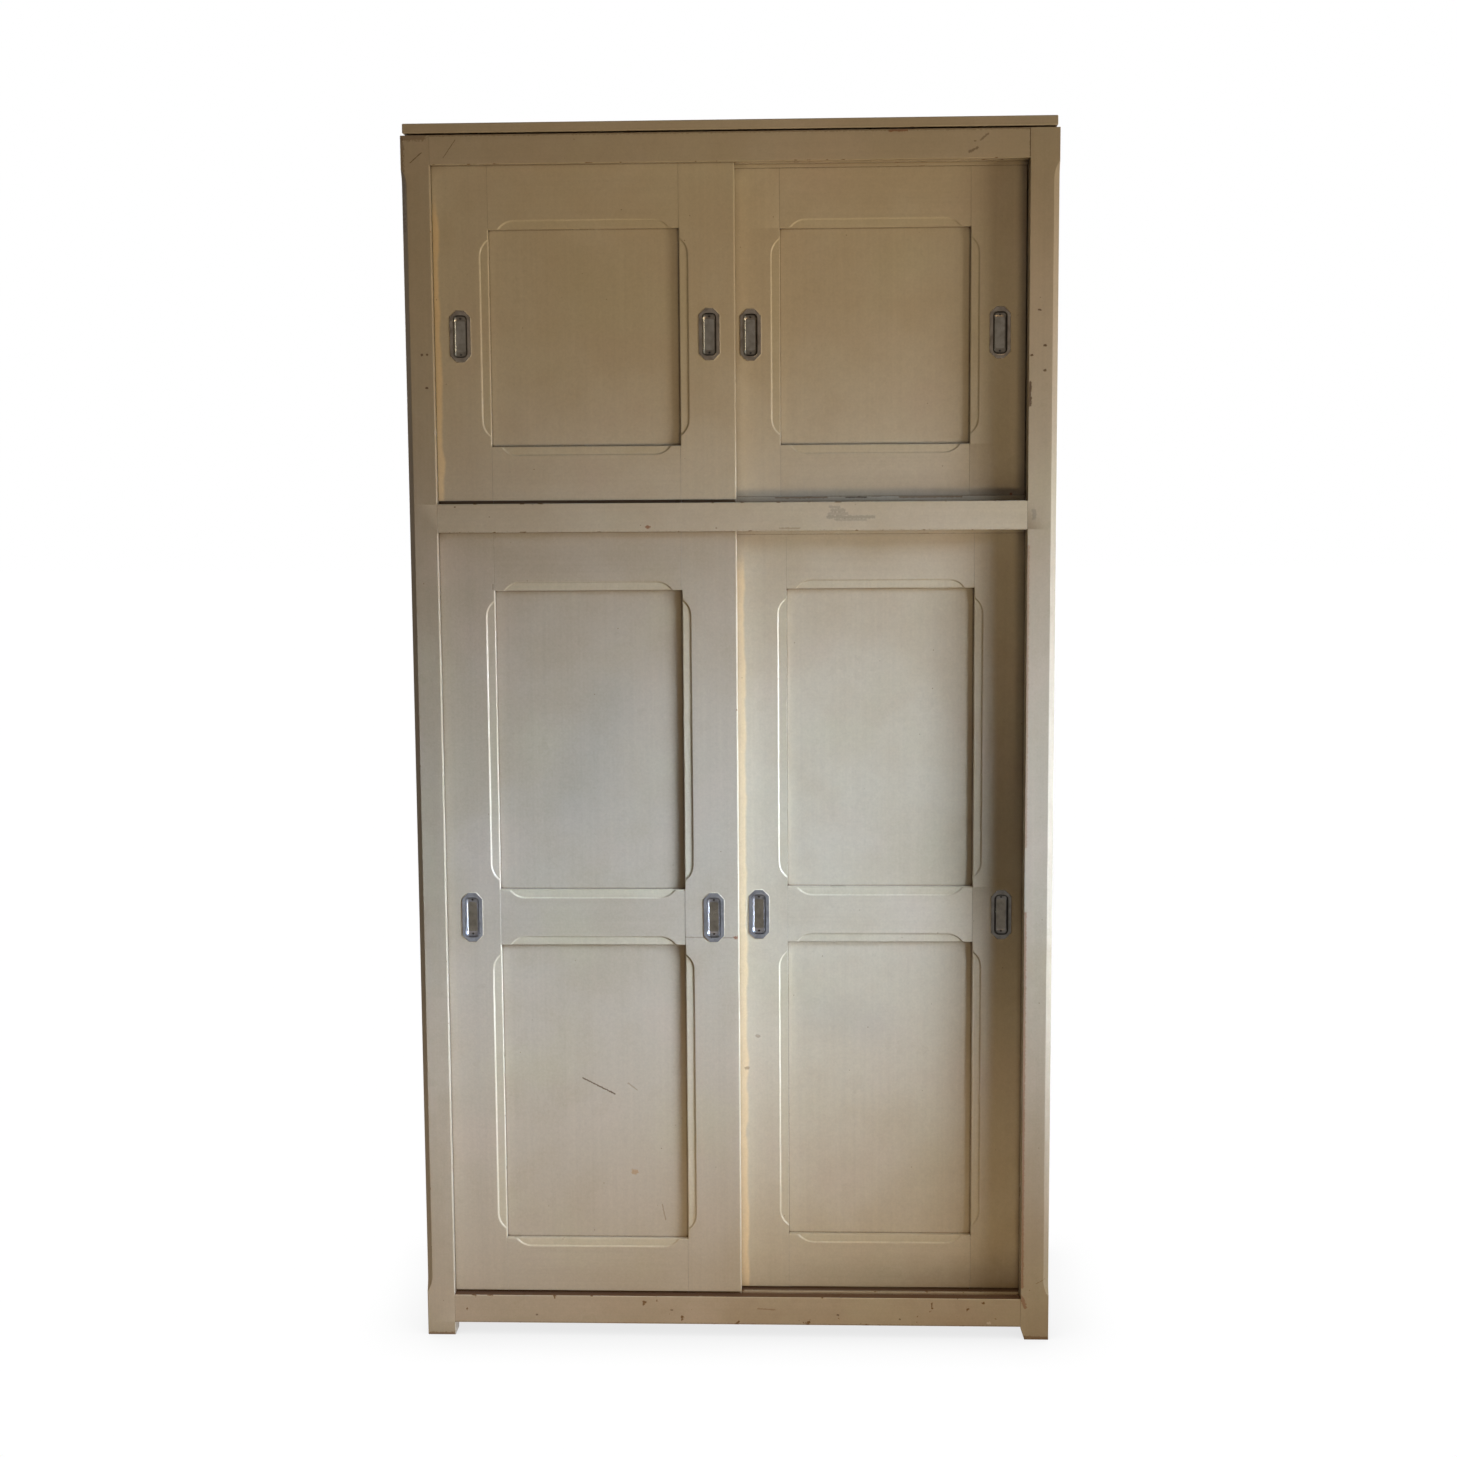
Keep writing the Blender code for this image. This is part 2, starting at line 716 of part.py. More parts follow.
def add_boards(materials):
    board = make_board(board_front)
    shelf = make_board(board_front + shelf_setback)
    add_piece("bottom_board", board, (0, front_face, bottom_rail_top + seat), materials["wood"])
    add_piece("middle_deck", board, (0, front_face, middle_rail_top + seat), materials["wood"])
    add_piece("shelf", shelf, (0, front_face, shelf_height), materials["wood"])
    cleat_low = (side_panel_inner_face - seat - cleat_width, post_depth + seat, -seat - cleat_height)
    cleat_high = (side_panel_inner_face - seat, case_depth - post_depth - seat, -seat)
    cleat = box(cleat_low, cleat_high)
    add_piece("right_shelf_cleat", cleat, (0, front_face, shelf_height), materials["wood"])
    add_piece("left_shelf_cleat", mirrored(cleat, "X"), (0, front_face, shelf_height), materials["wood"])


def add_back(materials):
    half = opening_width / 2 + back_groove_depth - seat
    back = box((-half, back_panel_face, foot_height + seat),
               (half, back_panel_face + back_panel_thickness, post_height + top_gap))
    add_piece("back_panel", back, (0, front_face, 0), materials["sheet"])


def add_top(materials):
    half_width = case_width / 2 - top_board_inset
    half_depth = case_depth / 2
    board = box((-half_width, -half_depth, 0), (half_width, half_depth, top_board_thickness))
    top = add_piece("top_board", board, (0, 0, post_height + top_gap + seat), materials["paint"])
    bevel = top.modifiers.new("worn_arris", "BEVEL")
    bevel.width = top_board_arris
    bevel.segments = top_board_arris_steps


def main():
    for old in list(bpy.data.objects):
        bpy.data.objects.remove(old)
    materials = {
        "paint": make_material("cream_paint", (0.56, 0.50, 0.39), 0.5, 0.0),
        "wood": make_material("bare_wood", (0.47, 0.31, 0.17), 0.75, 0.0),
        "sheet": make_material("plywood", (0.50, 0.35, 0.20), 0.7, 0.0),
        "metal": make_material("dull_metal", (0.33, 0.33, 0.34), 0.42, 1.0),
    }
    add_posts(materials)
    add_front(materials)
    add_sides(materials)
    add_boards(materials)
    add_back(materials)
    add_top(materials)
    add_doors(materials)


main()
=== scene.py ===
"""Looks of a tall painted cupboard with sliding doors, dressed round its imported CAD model.

Metres, +Z up, in the CAD model's own frame.
"""
import json
import math
import random
from collections import namedtuple

import bmesh
import bpy
from mathutils import Matrix, Vector


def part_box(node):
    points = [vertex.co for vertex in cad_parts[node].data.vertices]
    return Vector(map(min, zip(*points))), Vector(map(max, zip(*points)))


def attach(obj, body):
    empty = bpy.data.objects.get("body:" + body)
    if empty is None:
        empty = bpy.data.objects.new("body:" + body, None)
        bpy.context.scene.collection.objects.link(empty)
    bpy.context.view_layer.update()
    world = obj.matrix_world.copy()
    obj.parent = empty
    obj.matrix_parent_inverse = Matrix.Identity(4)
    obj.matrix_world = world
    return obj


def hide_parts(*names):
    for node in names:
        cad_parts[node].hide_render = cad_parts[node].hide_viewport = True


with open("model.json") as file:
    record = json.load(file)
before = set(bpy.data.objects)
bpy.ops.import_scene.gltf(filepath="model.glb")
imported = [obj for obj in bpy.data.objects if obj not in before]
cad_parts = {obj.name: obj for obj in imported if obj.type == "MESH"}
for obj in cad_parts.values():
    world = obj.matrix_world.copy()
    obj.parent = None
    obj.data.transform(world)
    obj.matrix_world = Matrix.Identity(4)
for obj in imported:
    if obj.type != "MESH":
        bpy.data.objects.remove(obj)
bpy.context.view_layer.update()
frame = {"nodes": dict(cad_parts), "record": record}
nodes = frame["nodes"]
bodies = frame["record"]["behaviour"]["bodies"]
body_of_node = {node: body for body, members in bodies.items() for node in members}

# Camera, at the photograph's viewing angle
camera_place = Vector((0.156, -4.201, 1.608))
camera_yaw = math.radians(-2.36)
camera_pitch = math.radians(6.80)
camera_roll = math.radians(0.41)
camera_lens = 54.85

# Light. A tall window to the right is a field of lamps aimed at the lower doors, each at a bearing off the
# front and a rise, with its share of the light that the front gets. Each other lamp is listed on its own.
Lamp = namedtuple("Lamp", "place target size power colour spread")
window_aim = Vector((-0.12, -0.25, 0.81))
window_distance = 5.5
window_bearings = {54: 0.22, 63: 0.30, 70: 0.28, 75: 0.20}
window_rises = {0.25: 0.45, 2.3: 0.55}
window_size = (1.1, 0.6)
window_level = 4.05
window_colour = (0.596, 0.75, 1.0)
window_spread = 17.6
warm = (1.0, 0.74, 0.46)
pale_warm = (1.0, 0.83, 0.62)
back_warm = (1.0, 0.90, 0.76)
lamps = {
    "side_light": Lamp((4.3, -2.1, 1.0), (0.0, -0.25, 1.50), (1.6, 1.2), 15.5, pale_warm, 70),
    "floor_bounce": Lamp((1.2, -3.0, 0.1), (0.0, -0.25, 1.95), (1.0, 0.6), 2.15, warm, 38),
    "low_fill": Lamp((0.1, -2.2, 1.25), (-0.05, -0.25, 0.11), (1.6, 0.3), 1.35, warm, 40),
    "back_fill": Lamp((-2.2, 3.4, 2.6), (0.0, -0.25, 0.80), (2.5, 2.5), 60, back_warm, 180),
}
room_light = (0.082, 0.056, 0.029)
white = (1.0, 1.0, 1.0)
floor_half = 30.0
floor_colour = (0.48, 0.38, 0.22)
floor_white = 1.004
shadow_reach = 0.15
shadow_depth = 0.25
shadow_samples = 16

# Radii of the worn arrises
meeting_arris = 0.0022
opening_arris = 0.0020
post_arris = 0.0018
rail_arris = 0.0012
lip_arris = 0.0008
chamfer_arris = 0.0006
margin_arris = 0.0008
sheet_arris = 0.0004
largest_arris = meeting_arris
arris_steps = 3
soften_steps = 2

# How a mesh is cleaned and sorted
weld_distance = 0.00002
flat_angle = math.radians(0.4)
convex_angle = math.radians(20)
sharp_angle = math.radians(33)
soften_angle = math.radians(40)
front_band = 0.0026
level_tolerance = 0.0006
straight = 0.99
sill_tongue = 0.0097

# Which of a piece's materials goes on each of its parts
gap_shade_index, sunk_index = 1, 2
cup_floor_index, cup_wall_index = 1, 2

# Flush pulls. A profile's pairs are how far inside the plate's edge, or outside the cup's mouth, and how
# far behind the front of the CAD plate.
plate_corner = 0.0115
plate_profile = [(0.0, 0.0012), (0.0, 0.0008), (0.0002, 0.00048), (0.0006, 0.00035)]
bead_profile = [(0.0016, 0.00035), (0.0011, 0.00012), (0.0006, 0.0), (0.0002, 0.0001), (0.0, 0.0005)]
cup_mouth = (0.025, 0.074)
cup_corner = 0.0085
cup_floor_corner = 0.0035
cup_wall = (0.0043, 0.0100)
cup_depth = 0.0085
cup_turn = math.radians(75)
cup_steps = 9
shell_grow = 0.0009
shell_back = 0.0094
corner_steps = 6

# Nails of the pulls, and the ridge that the paint left round each plate
nail_level = 0.0315
nail_radius = 0.0021
nail_height = 0.0008
nail_root = 0.0004
nail_sides = 12
nail_rings = 3
ridge_step = 0.003
ridge_width = 0.0020
ridge_height = 0.0009
ridge_widths = (0.35, 1.0)
ridge_heights = (0.6, 1.0)
ridge_shoulder = (0.55, 0.65)
ridge_seed = 11

# Paint colours
cream = (0.572, 0.520, 0.403)
aged_cream = (0.50, 0.425, 0.30)
dull_cream = (0.51, 0.457, 0.36)
aged_dull_cream = (0.445, 0.378, 0.268)
post_cream = (0.48, 0.425, 0.325)
aged_post_cream = (0.42, 0.35, 0.245)
sill_cream = (0.47, 0.40, 0.30)
aged_sill_cream = (0.40, 0.32, 0.22)
# Darker cream on the sides: painted shade, holding back the strong light from the right
shaded_side_cream = (0.43, 0.375, 0.28)
aged_shaded_side_cream = (0.38, 0.315, 0.22)
# Slightly lighter cream on the sunk margins: partly their own tone, partly a painted highlight on their
# contour lines
margin_cream_and_highlight = (0.585, 0.535, 0.405)
aged_margin_cream_and_highlight = (0.52, 0.455, 0.315)
olive = (0.53, 0.50, 0.36)
rosy = (0.57, 0.48, 0.385)
bounce_yellow = (0.84, 0.67, 0.41)
# Dirt colour, also used for the painted shade in corners
grime_and_shade = (0.17, 0.11, 0.060)
lee_dirt_and_shade = (0.16, 0.085, 0.045)
crevice_dirt_and_shade = (0.055, 0.032, 0.018)
bare_chip = (0.20, 0.12, 0.06)
worn_wood = (0.105, 0.046, 0.019)
settled_dirt_and_shade = (0.20, 0.150, 0.100)
dark_mark = (0.10, 0.06, 0.035)
brown_mark = (0.24, 0.16, 0.095)
rust_mark = (0.26, 0.10, 0.045)
ochre_mark = (0.42, 0.235, 0.095)
grey_mark = (0.30, 0.255, 0.20)
pale_mark = (0.66, 0.61, 0.52)
scuff_mark = (0.30, 0.275, 0.225)
haze_tint = (0.40, 0.39, 0.33)

# Paint. A noise is its scale and detail. A range runs from where something starts to show to where it is
# full, and a pair of shares is a factor and what is added to it.
paint_shine = 0.2
paint_roughness = (0.16, 0.22)
bare_roughness = 0.5
paint_bump = (0.5, 0.0010)
frontal_range = (-0.4, -0.8)
mottle_noise = (2.6, 4.0)
blotch_noise = (14.0, 4.0)
ragged_noise = (38.0, 6.0)
hue_noise = (5.0, 3.0)
blotch_in_age = 0.5
age_range = (0.62, 0.95)
age_share = 0.55
olive_range = (0.52, 0.70)
rosy_range = (0.48, 0.30)
hue_share = 0.35
strip_fray = 0.016
strip_blur = 0.0030
strip_fade = 0.06
strip_share = 0.75
low_band_fray = 0.024
low_band_blur = 0.050
low_band_run = (0.0, 0.55)
low_band_shares = (0.55, 0.10)
lee_reach = 0.007
lee_lean = (0.45, 0.0, 0.0)
lee_range = (0.60, 0.38)
lee_shares = (1.3, -0.05)
corner_reach = 0.030
corner_range = (0.72, 0.30)
corner_tilt = (0.7, 0.1)
corner_shares = (0.7, 0.05)
seam_reach = 0.004
seam_range = (0.75, 0.45)
seam_share = 0.85
chip_noise = (55.0, 6.0)
chip_blur = 0.03
chip_dip = -0.5
ledge_tilt = (0.6, 0.9)
ledge_range = (0.15, 0.35)
speck_scale = 25.0
speck_size = 0.0013
speck_share = 0.7
fray_noise = (300.0, 3.0)
mark_fray = 1.2
mark_edge = 1.25
mark_core = 0.90

# The paint's fine unevenness, from brush strokes along the grain to ripples and orange peel
ToneLayer = namedtuple("ToneLayer", "scale detail along_grain share")
tone_layers = [
    ToneLayer(240.0, 0.0, True, 0.05),
    ToneLayer(75.0, 1.0, True, 0.06),
    ToneLayer(110.0, 1.0, False, 0.10),
    ToneLayer(300.0, 0.0, False, 0.10),
]
grain_stretch = {"X": (0.014, 1, 1), "Y": (1, 0.014, 1), "Z": (1, 1, 0.014)}

# Bare wood, given as the paint is
ring_stretch = 0.06
ring_detail = 2.0
ring_count = 70.0
band_share = 0.32
fibre_noise = (420.0, 3.0)
fibre_share = 0.9
wood_corner_shade_reach = 0.05
wood_corner_shade_range = (0.75, 0.25)
wood_corner_shade_share = 0.6
stain_noise = (5.0, 4.0)
stain_range = (0.5, 0.75)
stain_share = 0.35
wood_roughness = (0.25, 0.55)
wood_shine = 0.25
band_bump = 0.3
wood_bump = (0.3, 0.0006)

# Metal, given as the paint is
cloud_noise = (90.0, 4.0)
scuff_noise = (900.0, 3.0)
scuff_stretch = (1, 1, 0.08)
tarnish_range = (0.35, 0.75)
hollow_reach = 0.004
hollow_range = (0.70, 0.30)
hollow_share = 0.7
lit_wall_tilt = (0.15, 0.60)
scuff_roughness = 0.16
metal_roughness = (0.12, 0.16)
metal_bump = (0.12, 0.0002)

# Sockets of a colour Mix node, which share their names with others, and rays of an occlusion node
mix_factor, mix_first, mix_second, mix_result = 0, 6, 7, 2
occlusion_samples = 6

# Marks on single pieces: from and to (x, z), how wide, how strong and what colour
Mark = namedtuple("Mark", "start end width strength tint")


def spot(x, z, width, strength, tint):
    return Mark((x - width / 4, z), (x + width / 4, z), width, strength, tint)


marks = {
    "lower_left_door_lower_panel": [
        Mark((-0.281, 0.485), (-0.222, 0.455), 0.0026, 0.85, dark_mark),
        Mark((-0.198, 0.476), (-0.1815, 0.463), 0.0024, 0.45, brown_mark),
        spot(-0.187, 0.307, 0.0090, 0.60, ochre_mark),
        Mark((-0.137, 0.245), (-0.131, 0.215), 0.0022, 0.50, brown_mark),
    ],
    "lower_left_door_right_stile": [
        Mark((-0.089, 0.752), (0.009, 0.751), 0.0022, 0.75, grey_mark),
        spot(0.0045, 0.751, 0.0070, 0.8, rust_mark),
        spot(-0.0885, 1.322, 0.0080, 0.9, dark_mark),
    ],
    "lower_left_door_left_stile": [
        Mark((-0.4285, 1.396), (-0.4285, 1.387), 0.0014, 0.7, dark_mark),
    ],
    "lower_right_door_left_stile": [
        spot(0.0211, 0.4996, 0.0060, 0.6, brown_mark),
        spot(0.0417, 0.5602, 0.0060, 0.5, brown_mark),
    ],
    "upper_right_door_right_stile": [
        spot(0.498, 1.551, 0.0034, 0.8, rust_mark),
    ],
    "top_front_rail": [
        Mark((-0.4995, 2.143), (-0.478, 2.173), 0.0014, 0.6, dark_mark),
        Mark((0.418, 2.142), (0.432, 2.149), 0.0042, 0.6, dark_mark),
        Mark((0.438, 2.162), (0.450, 2.172), 0.0036, 0.5, dark_mark),
        spot(0.428, 2.160, 0.0030, 0.6, dark_mark),
        Mark((0.281, 2.1795), (0.310, 2.1805), 0.0046, 0.8, rust_mark),
        Mark((-0.524, 2.1815), (0.524, 2.1815), 0.0045, 0.6, grime_and_shade),
        Mark((0.5232, 2.131), (0.5232, 2.182), 0.0020, 0.8, dark_mark),
    ],
    "front_left_post": [
        Mark((-0.558, 2.135), (-0.538, 2.152), 0.0018, 0.7, dark_mark),
        Mark((-0.574, 2.180), (-0.535, 2.181), 0.0150, 0.6, grime_and_shade),
        Mark((-0.575, 2.175), (-0.575, 2.020), 0.0120, 0.6, grime_and_shade),
        spot(-0.5445, 1.803, 0.0036, 0.9, dark_mark),
        spot(-0.5355, 1.803, 0.0030, 0.9, dark_mark),
        spot(-0.537, 1.745, 0.0036, 0.9, dark_mark),
        Mark((-0.575, 0.002), (-0.524, 0.002), 0.0060, 0.7, bare_chip),
    ],
    "front_right_post": [
        spot(0.542, 1.871, 0.0036, 0.9, dark_mark),
        spot(0.5516, 1.810, 0.0044, 0.9, dark_mark),
        spot(0.5291, 1.793, 0.0038, 0.9, dark_mark),
        spot(0.5520, 1.767, 0.0040, 0.8, dark_mark),
        Mark((0.5255, 1.745), (0.5255, 1.708), 0.0070, 0.9, dark_mark),
        Mark((0.5262, 1.46), (0.5262, 0.92), 0.0036, 0.45, rust_mark),
        Mark((0.5262, 0.80), (0.5264, 0.10), 0.0044, 0.60, rust_mark),
        Mark((0.526, 0.080), (0.532, 0.062), 0.0070, 0.60, rust_mark),
        Mark((0.5350, 1.523), (0.5352, 1.509), 0.0070, 0.6, scuff_mark),
        Mark((0.552, 0.107), (0.568, 0.116), 0.0014, 0.6, brown_mark),
        Mark((0.524, 0.004), (0.575, 0.002), 0.0070, 0.7, bare_chip),
    ],
    "middle_front_rail": [
        spot(-0.352, 1.540, 0.0044, 0.9, dark_mark),
        spot(-0.492, 1.535, 0.0022, 0.8, dark_mark),
        spot(-0.431, 1.517, 0.0020, 0.7, dark_mark),
        Mark((0.176, 1.531), (0.192, 1.530), 0.0050, 0.45, scuff_mark),
        Mark((0.180, 1.525), (0.200, 1.525), 0.0060, 0.50, scuff_mark),
        Mark((0.174, 1.519), (0.205, 1.519), 0.0060, 0.45, scuff_mark),
        Mark((0.172, 1.513), (0.252, 1.513), 0.0060, 0.55, scuff_mark),
        Mark((0.186, 1.508), (0.240, 1.508), 0.0040, 0.40, scuff_mark),
        Mark((0.087, 1.494), (0.122, 1.494), 0.0024, 0.5, brown_mark),
        spot(-0.1475, 1.4975, 0.0060, 0.8, rust_mark),
        spot(-0.0265, 1.495, 0.0024, 0.7, brown_mark),
        Mark((-0.524, 1.4885), (0.524, 1.4885), 0.0034, 0.9, brown_mark),
    ],
    "middle_rear_track": [
        Mark((0.080, 1.5478), (0.170, 1.5478), 0.0046, 0.8, brown_mark),
        Mark((0.205, 1.5480), (0.240, 1.5478), 0.0042, 0.8, dark_mark),
        Mark((0.300, 1.5478), (0.410, 1.5480), 0.0046, 0.8, brown_mark),
    ],
    "bottom_front_rail": [
        spot(0.466, 0.031, 0.0050, 0.8, pale_mark),
        spot(0.188, 0.044, 0.0034, 0.8, dark_mark),
        spot(0.302, 0.037, 0.0028, 0.7, dark_mark),
        spot(-0.120, 0.051, 0.0030, 0.7, dark_mark),
        spot(-0.371, 0.040, 0.0032, 0.7, dark_mark),
        Mark((0.040, 0.055), (0.072, 0.053), 0.0024, 0.6, brown_mark),
        Mark((-0.524, 0.025), (0.524, 0.025), 0.0030, 0.6, grime_and_shade),
    ],
}

# Soft hazes on single pieces, given as the marks are
soft_hazes = {
    "lower_left_door_upper_panel": [Mark((-0.288, 1.00), (-0.222, 1.186), 0.085, 0.30, haze_tint)],
    "lower_right_door_lower_panel": [Mark((0.17, 0.60), (0.25, 0.585), 0.070, 0.25, haze_tint)],
}

# Where a yellow strip is painted, partly yellowed paint and partly painted light bounced off the lit edge
# beside it, up to a level x and a level z, and where settled dirt and painted shade darken a piece, up to a
# level z
bounce_strips = {
    "upper_left_door_left_stile": (-0.5140, 2.09),
    "lower_right_door_left_stile": (0.0220, 1.46),
}
dirt_and_shade_levels = {
    "lower_right_door_left_stile": 0.118,
    "lower_right_door_bottom_rail": 0.122,
    "lower_right_door_right_stile": 0.128,
    "upper_right_door_bottom_rail": 1.562,
    "upper_right_door_right_stile": 1.566,
}


# Material nodes
class Graph:
    """The nodes of one material, written as short calls."""

    def __init__(self, name):
        self.material = bpy.data.materials.new(name)
        self.material.use_nodes = True
        self.nodes = self.material.node_tree.nodes
        self.links = self.material.node_tree.links
        self.shader = self.nodes["Principled BSDF"]
        self.place = self.add("ShaderNodeTexCoord").outputs["Object"]
        parts = self.add("ShaderNodeSeparateXYZ", self.place).outputs
        self.x, self.z = parts["X"], parts["Z"]
        self.normal = self.add("ShaderNodeNewGeometry").outputs["Normal"]
        self.normal_x, self.normal_y, self.normal_z = self.add("ShaderNodeSeparateXYZ", self.normal).outputs

    def feed(self, socket, value):
        if isinstance(value, bpy.types.NodeSocket):
            self.links.new(value, socket)
        elif socket.type == "RGBA":
            socket.default_value = (*value, 1.0)
        else:
            socket.default_value = value

    def add(self, kind, *values, **settings):
        """A node with its settings, and its first inputs in order."""
        node = self.nodes.new(kind)
        for name, value in settings.items():
            setattr(node, name, value)
        for socket, value in zip(node.inputs, values):
            self.feed(socket, value)
        return node

    def math(self, operation, *values):
        return self.add("ShaderNodeMath", *values, operation=operation).outputs[0]

    def scaled(self, value, factor, added):
        return self.math("MULTIPLY_ADD", value, factor, added)

    def product(self, first, *others):
        for other in others:
            first = self.math("MULTIPLY", first, other)
        return first

    def vector(self, operation, *values):
        return self.add("ShaderNodeVectorMath", *values, operation=operation)

    def ramp(self, value, low, high):
        """0 at low, 1 at high and smooth between; low may be the larger one."""
        node = self.add("ShaderNodeMapRange", value, low, high, 0.0, 1.0, interpolation_type="SMOOTHSTEP")
        return node.outputs[0]

    def noise(self, scale, detail, stretch=None):
        node = self.add("ShaderNodeTexNoise")
        place = self.vector("MULTIPLY", self.place, stretch).outputs[0] if stretch else self.place
        self.feed(node.inputs["Vector"], place)
        self.feed(node.inputs["Scale"], scale)
        self.feed(node.inputs["Detail"], detail)
        return node.outputs[0]

    def specks(self, scale, size):
        """1 in rare round specks about as large as size."""
        node = self.add("ShaderNodeTexVoronoi")
        self.feed(node.inputs["Vector"], self.place)
        self.feed(node.inputs["Scale"], scale)
        return self.ramp(node.outputs["Distance"], scale * size, scale * size / 2)

    def mix(self, factor, first, second, blend="MIX"):
        node = self.add("ShaderNodeMix", data_type="RGBA", blend_type=blend)
        self.feed(node.inputs[mix_factor], factor)
        self.feed(node.inputs[mix_first], first)
        self.feed(node.inputs[mix_second], second)
        return node.outputs[mix_result]

    def occlusion(self, distance, lean=None):
        """How open the surface is to its surroundings, or to those on the side that lean points to."""
        node = self.add("ShaderNodeAmbientOcclusion", samples=occlusion_samples)
        self.feed(node.inputs["Distance"], distance)
        if lean:
            tilted = self.vector("ADD", self.normal, lean).outputs[0]
            self.feed(node.inputs["Normal"], self.vector("NORMALIZE", tilted).outputs[0])
        return node.outputs["AO"]

    def bump(self, height, strength, distance):
        node = self.add("ShaderNodeBump")
        self.feed(node.inputs["Strength"], strength)
        self.feed(node.inputs["Distance"], distance)
        self.feed(node.inputs["Height"], height)
        self.feed(self.shader.inputs["Normal"], node.outputs[0])

    def segment(self, start, end):
        """Distance, seen from the front, to the line between two points (x, z)."""
        first = Vector((start[0], 0, start[1]))
        run = Vector((end[0], 0, end[1])) - first
        flat = self.vector("MULTIPLY", self.place, (1, 0, 1)).outputs[0]
        offset = self.vector("SUBTRACT", flat, first).outputs[0]
        along = self.vector("DOT_PRODUCT", offset, run / run.length_squared).outputs["Value"]
        share = self.add("ShaderNodeClamp", along).outputs[0]
        scaled = self.vector("SCALE", run)
        self.feed(scaled.inputs["Scale"], share)
        rest = self.vector("SUBTRACT", offset, scaled.outputs[0]).outputs[0]
        return self.vector("LENGTH", rest).outputs["Value"]


def paint_tone(graph, grain):
    """How much the paint's fine unevenness lightens or darkens it, about 1."""
    tone = 1 - sum(layer.share for layer in tone_layers) / 2
    for layer in tone_layers:
        stretch = grain_stretch[grain] if layer.along_grain else None
        tone = graph.scaled(graph.noise(layer.scale, layer.detail, stretch), layer.share, tone)
    return tone


def make_paint(name, grain, colours, chip_level, worn_ledge=0.0,
               spots=(), hazes=(), yellow_to=None, settled_to=None):
    """Old brushed enamel on wood.

    chip_level is the noise above which bare wood shows, worn_ledge is how far the paint is worn off the
    faces that point up, and the rest are the marks, hazes, strips and levels listed above.
    """
    graph = Graph(name)
    fresh, aged = colours
    mottle = graph.noise(*mottle_noise)
    blotch = graph.noise(*blotch_noise)
    ragged = graph.noise(*ragged_noise)
    hue = graph.noise(*hue_noise)
    frontal = graph.ramp(graph.normal_y, *frontal_range)
    age = graph.ramp(graph.scaled(blotch, blotch_in_age, mottle), *age_range)
    colour = graph.mix(graph.product(age, age_share), fresh, aged)
    colour = graph.mix(graph.product(graph.ramp(hue, *olive_range), hue_share), colour, olive)
    colour = graph.mix(graph.product(graph.ramp(hue, *rosy_range), hue_share), colour, rosy)
    tone = paint_tone(graph, grain)
    for haze in hazes:
        near_haze = graph.ramp(graph.segment(haze.start, haze.end), haze.width, 0.0)
        colour = graph.mix(graph.product(near_haze, haze.strength), colour, haze.tint)
    # A yellow strip beside a lit edge: partly yellowed paint, partly painted bounce light
    if yellow_to is not None:
        edge, top = yellow_to
        beyond = graph.math("SUBTRACT", graph.x, edge - strip_fray / 2)
        beyond = graph.scaled(blotch, -strip_fray, beyond)
        strip = graph.ramp(beyond, strip_blur, -strip_blur)
        strip = graph.product(strip, graph.ramp(graph.z, top, top - strip_fade))
        colour = graph.mix(graph.product(strip, frontal, strip_share), colour, bounce_yellow)
    # Settled dirt and painted shade: darker below a level near the rail in front, more so towards the right
    # post
    if settled_to is not None:
        above = graph.math("SUBTRACT", graph.z, settled_to - low_band_fray / 2)
        above = graph.scaled(ragged, -low_band_fray, above)
        depth = graph.scaled(graph.ramp(graph.x, *low_band_run), *low_band_shares)
        settled = graph.product(graph.ramp(above, low_band_blur, -low_band_blur), frontal, depth)
        colour = graph.mix(settled, colour, settled_dirt_and_shade)
    colour = graph.mix(1.0, colour, tone, "MULTIPLY")
    # Painted shade with dirt: front faces darker beside an edge on their right, where the light from the
    # right is blocked
    lee = graph.ramp(graph.occlusion(lee_reach, lee_lean), *lee_range)
    colour = graph.mix(graph.product(lee, frontal, graph.scaled(blotch, *lee_shares)), colour, lee_dirt_and_shade)
    # Painted shade with grime: darker in corners and recesses, less on faces that point up, where more light
    # falls
    corner = graph.ramp(graph.occlusion(corner_reach), *corner_range)
    corner = graph.product(corner, graph.ramp(graph.normal_z, *corner_tilt))
    colour = graph.mix(graph.product(corner, graph.scaled(blotch, *corner_shares)), colour, grime_and_shade)
    # Painted shade with dirt: darker in narrow crevices, within a few millimetres of another face
    seam = graph.ramp(graph.occlusion(seam_reach), *seam_range)
    colour = graph.mix(graph.product(seam, seam_share), colour, crevice_dirt_and_shade)
    chips = graph.ramp(graph.noise(*chip_noise), chip_level, chip_level + chip_blur)
    colour = graph.mix(chips, colour, bare_chip)
    bare = chips
    if worn_ledge:
        upward = graph.ramp(graph.normal_z, *ledge_tilt)
        worn = graph.product(upward, worn_ledge, graph.ramp(ragged, *ledge_range))
        colour = graph.mix(worn, colour, worn_wood)
        bare = graph.math("MAXIMUM", chips, worn)
    specks = graph.product(graph.specks(speck_scale, speck_size), frontal, speck_share)
    colour = graph.mix(specks, colour, grime_and_shade)
    fray = graph.noise(*fray_noise)
    for mark in spots:
        distance = graph.scaled(fray, mark.width * mark_fray, graph.segment(mark.start, mark.end))
        shown = graph.ramp(distance, mark.width * mark_edge, mark.width * mark_core)
        colour = graph.mix(graph.product(shown, frontal, mark.strength), colour, mark.tint)
    graph.feed(graph.shader.inputs["Base Color"], colour)
    rough = graph.scaled(blotch, *paint_roughness)
    graph.feed(graph.shader.inputs["Roughness"], graph.scaled(bare, bare_roughness, rough))
    graph.feed(graph.shader.inputs["Specular IOR Level"], paint_shine)
    graph.bump(graph.scaled(chips, chip_dip, tone), *paint_bump)
    return graph.material


